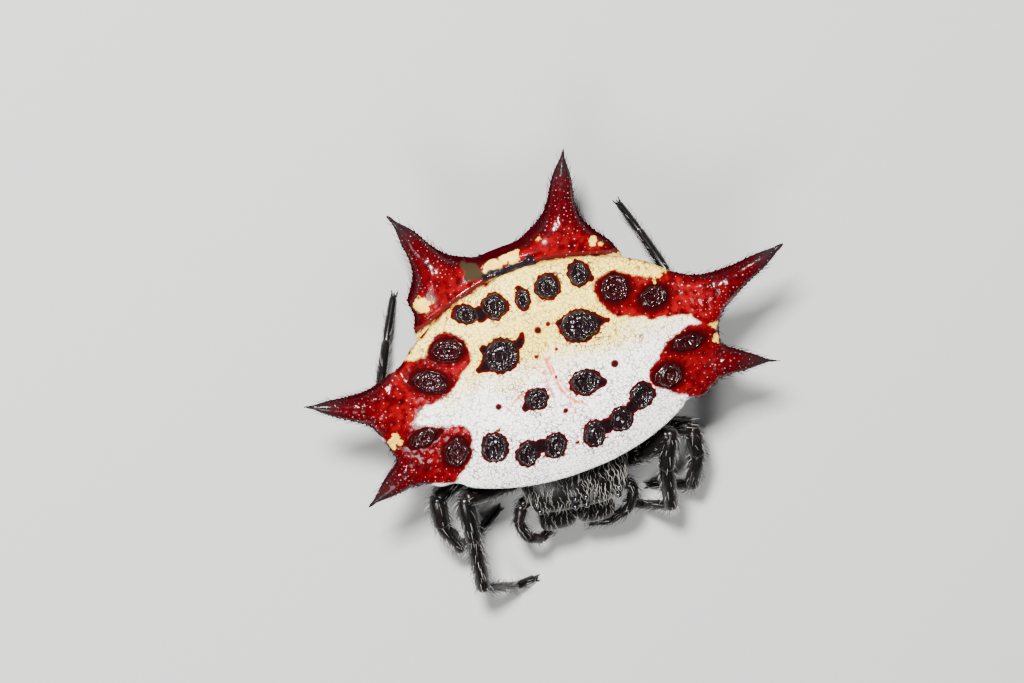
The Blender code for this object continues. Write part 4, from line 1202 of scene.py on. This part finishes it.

# The floor: one pale matt sheet that the toes stand on. It is no part of the spider.
floor = bmesh.new()
bmesh.ops.create_grid(floor, x_segments=1, y_segments=1, size=0.6)
floor_mesh = bpy.data.meshes.new("floor")
floor.to_mesh(floor_mesh)
floor.free()
floor_mesh.materials.append(Finish("pale floor", 0.6, (0.34, 0.337, 0.33)).material)
floor = bpy.data.objects.new("floor", floor_mesh)
bpy.context.scene.collection.objects.link(floor)

# The camera looks down steeply from behind the spider's right, turned about its own axis as in the
# photograph. The way it stands and what it looks at are given from the plate's middle.
SENSOR = 36.0
CAMERA_DISTANCE = 210.0
VIEW_WIDTH = 26.73  # millimetres across the picture at the plate
ROLL = 20.4
n = Vector((-0.06976, 0.30826, 0.94875)).normalized()
rear = (Vector((0, 1, 0)) - n * n.y).normalized()
left = rear.cross(n)
left = left if left.x > 0 else -left
roll = math.radians(ROLL)
right = left * math.cos(roll) - rear * math.sin(roll)
down = -left * math.sin(roll) - rear * math.cos(roll)
target = right * -0.992 + down * -0.757
camera = bpy.data.cameras.new("camera")
camera.sensor_width = SENSOR
camera.lens = SENSOR * CAMERA_DISTANCE / VIEW_WIDTH
camera.clip_start = 0.01
camera = bpy.data.objects.new("camera", camera)
turn = Matrix((right, -down, n)).transposed().to_4x4()
camera.matrix_world = Matrix.Translation((target + n * CAMERA_DISTANCE + SHELL_MIDDLE) * MM) @ turn
bpy.context.scene.collection.objects.link(camera)
bpy.context.scene.camera = camera


# The light: a small key lamp beside the camera's line of sight, a larger soft lamp to the spider's
# right, and a weak pale sky. Both lamps shine on the plate's middle.
def lamp(name, way, distance, size, power):
    """A square lamp that shines on the spider from the given way."""
    light = bpy.data.lights.new(name, "AREA")
    light.size = size
    light.energy = power
    holder = bpy.data.objects.new(name, light)
    holder.matrix_world = along(SHELL_MIDDLE * MM + Vector(way).normalized() * distance, Vector(way))
    bpy.context.scene.collection.objects.link(holder)


lamp("key lamp", tuple(n - right * 0.12 - down * 0.24), 0.16, 0.022, 1.25)
lamp("side lamp", (-0.6, -0.4, 1.1), 0.16, 0.06, 0.30)
world = bpy.data.worlds.new("studio")
world.use_nodes = True
world.node_tree.nodes["Background"].inputs["Color"].default_value = (0.9, 0.93, 1.0, 1)
world.node_tree.nodes["Background"].inputs["Strength"].default_value = 0.13
bpy.context.scene.world = world
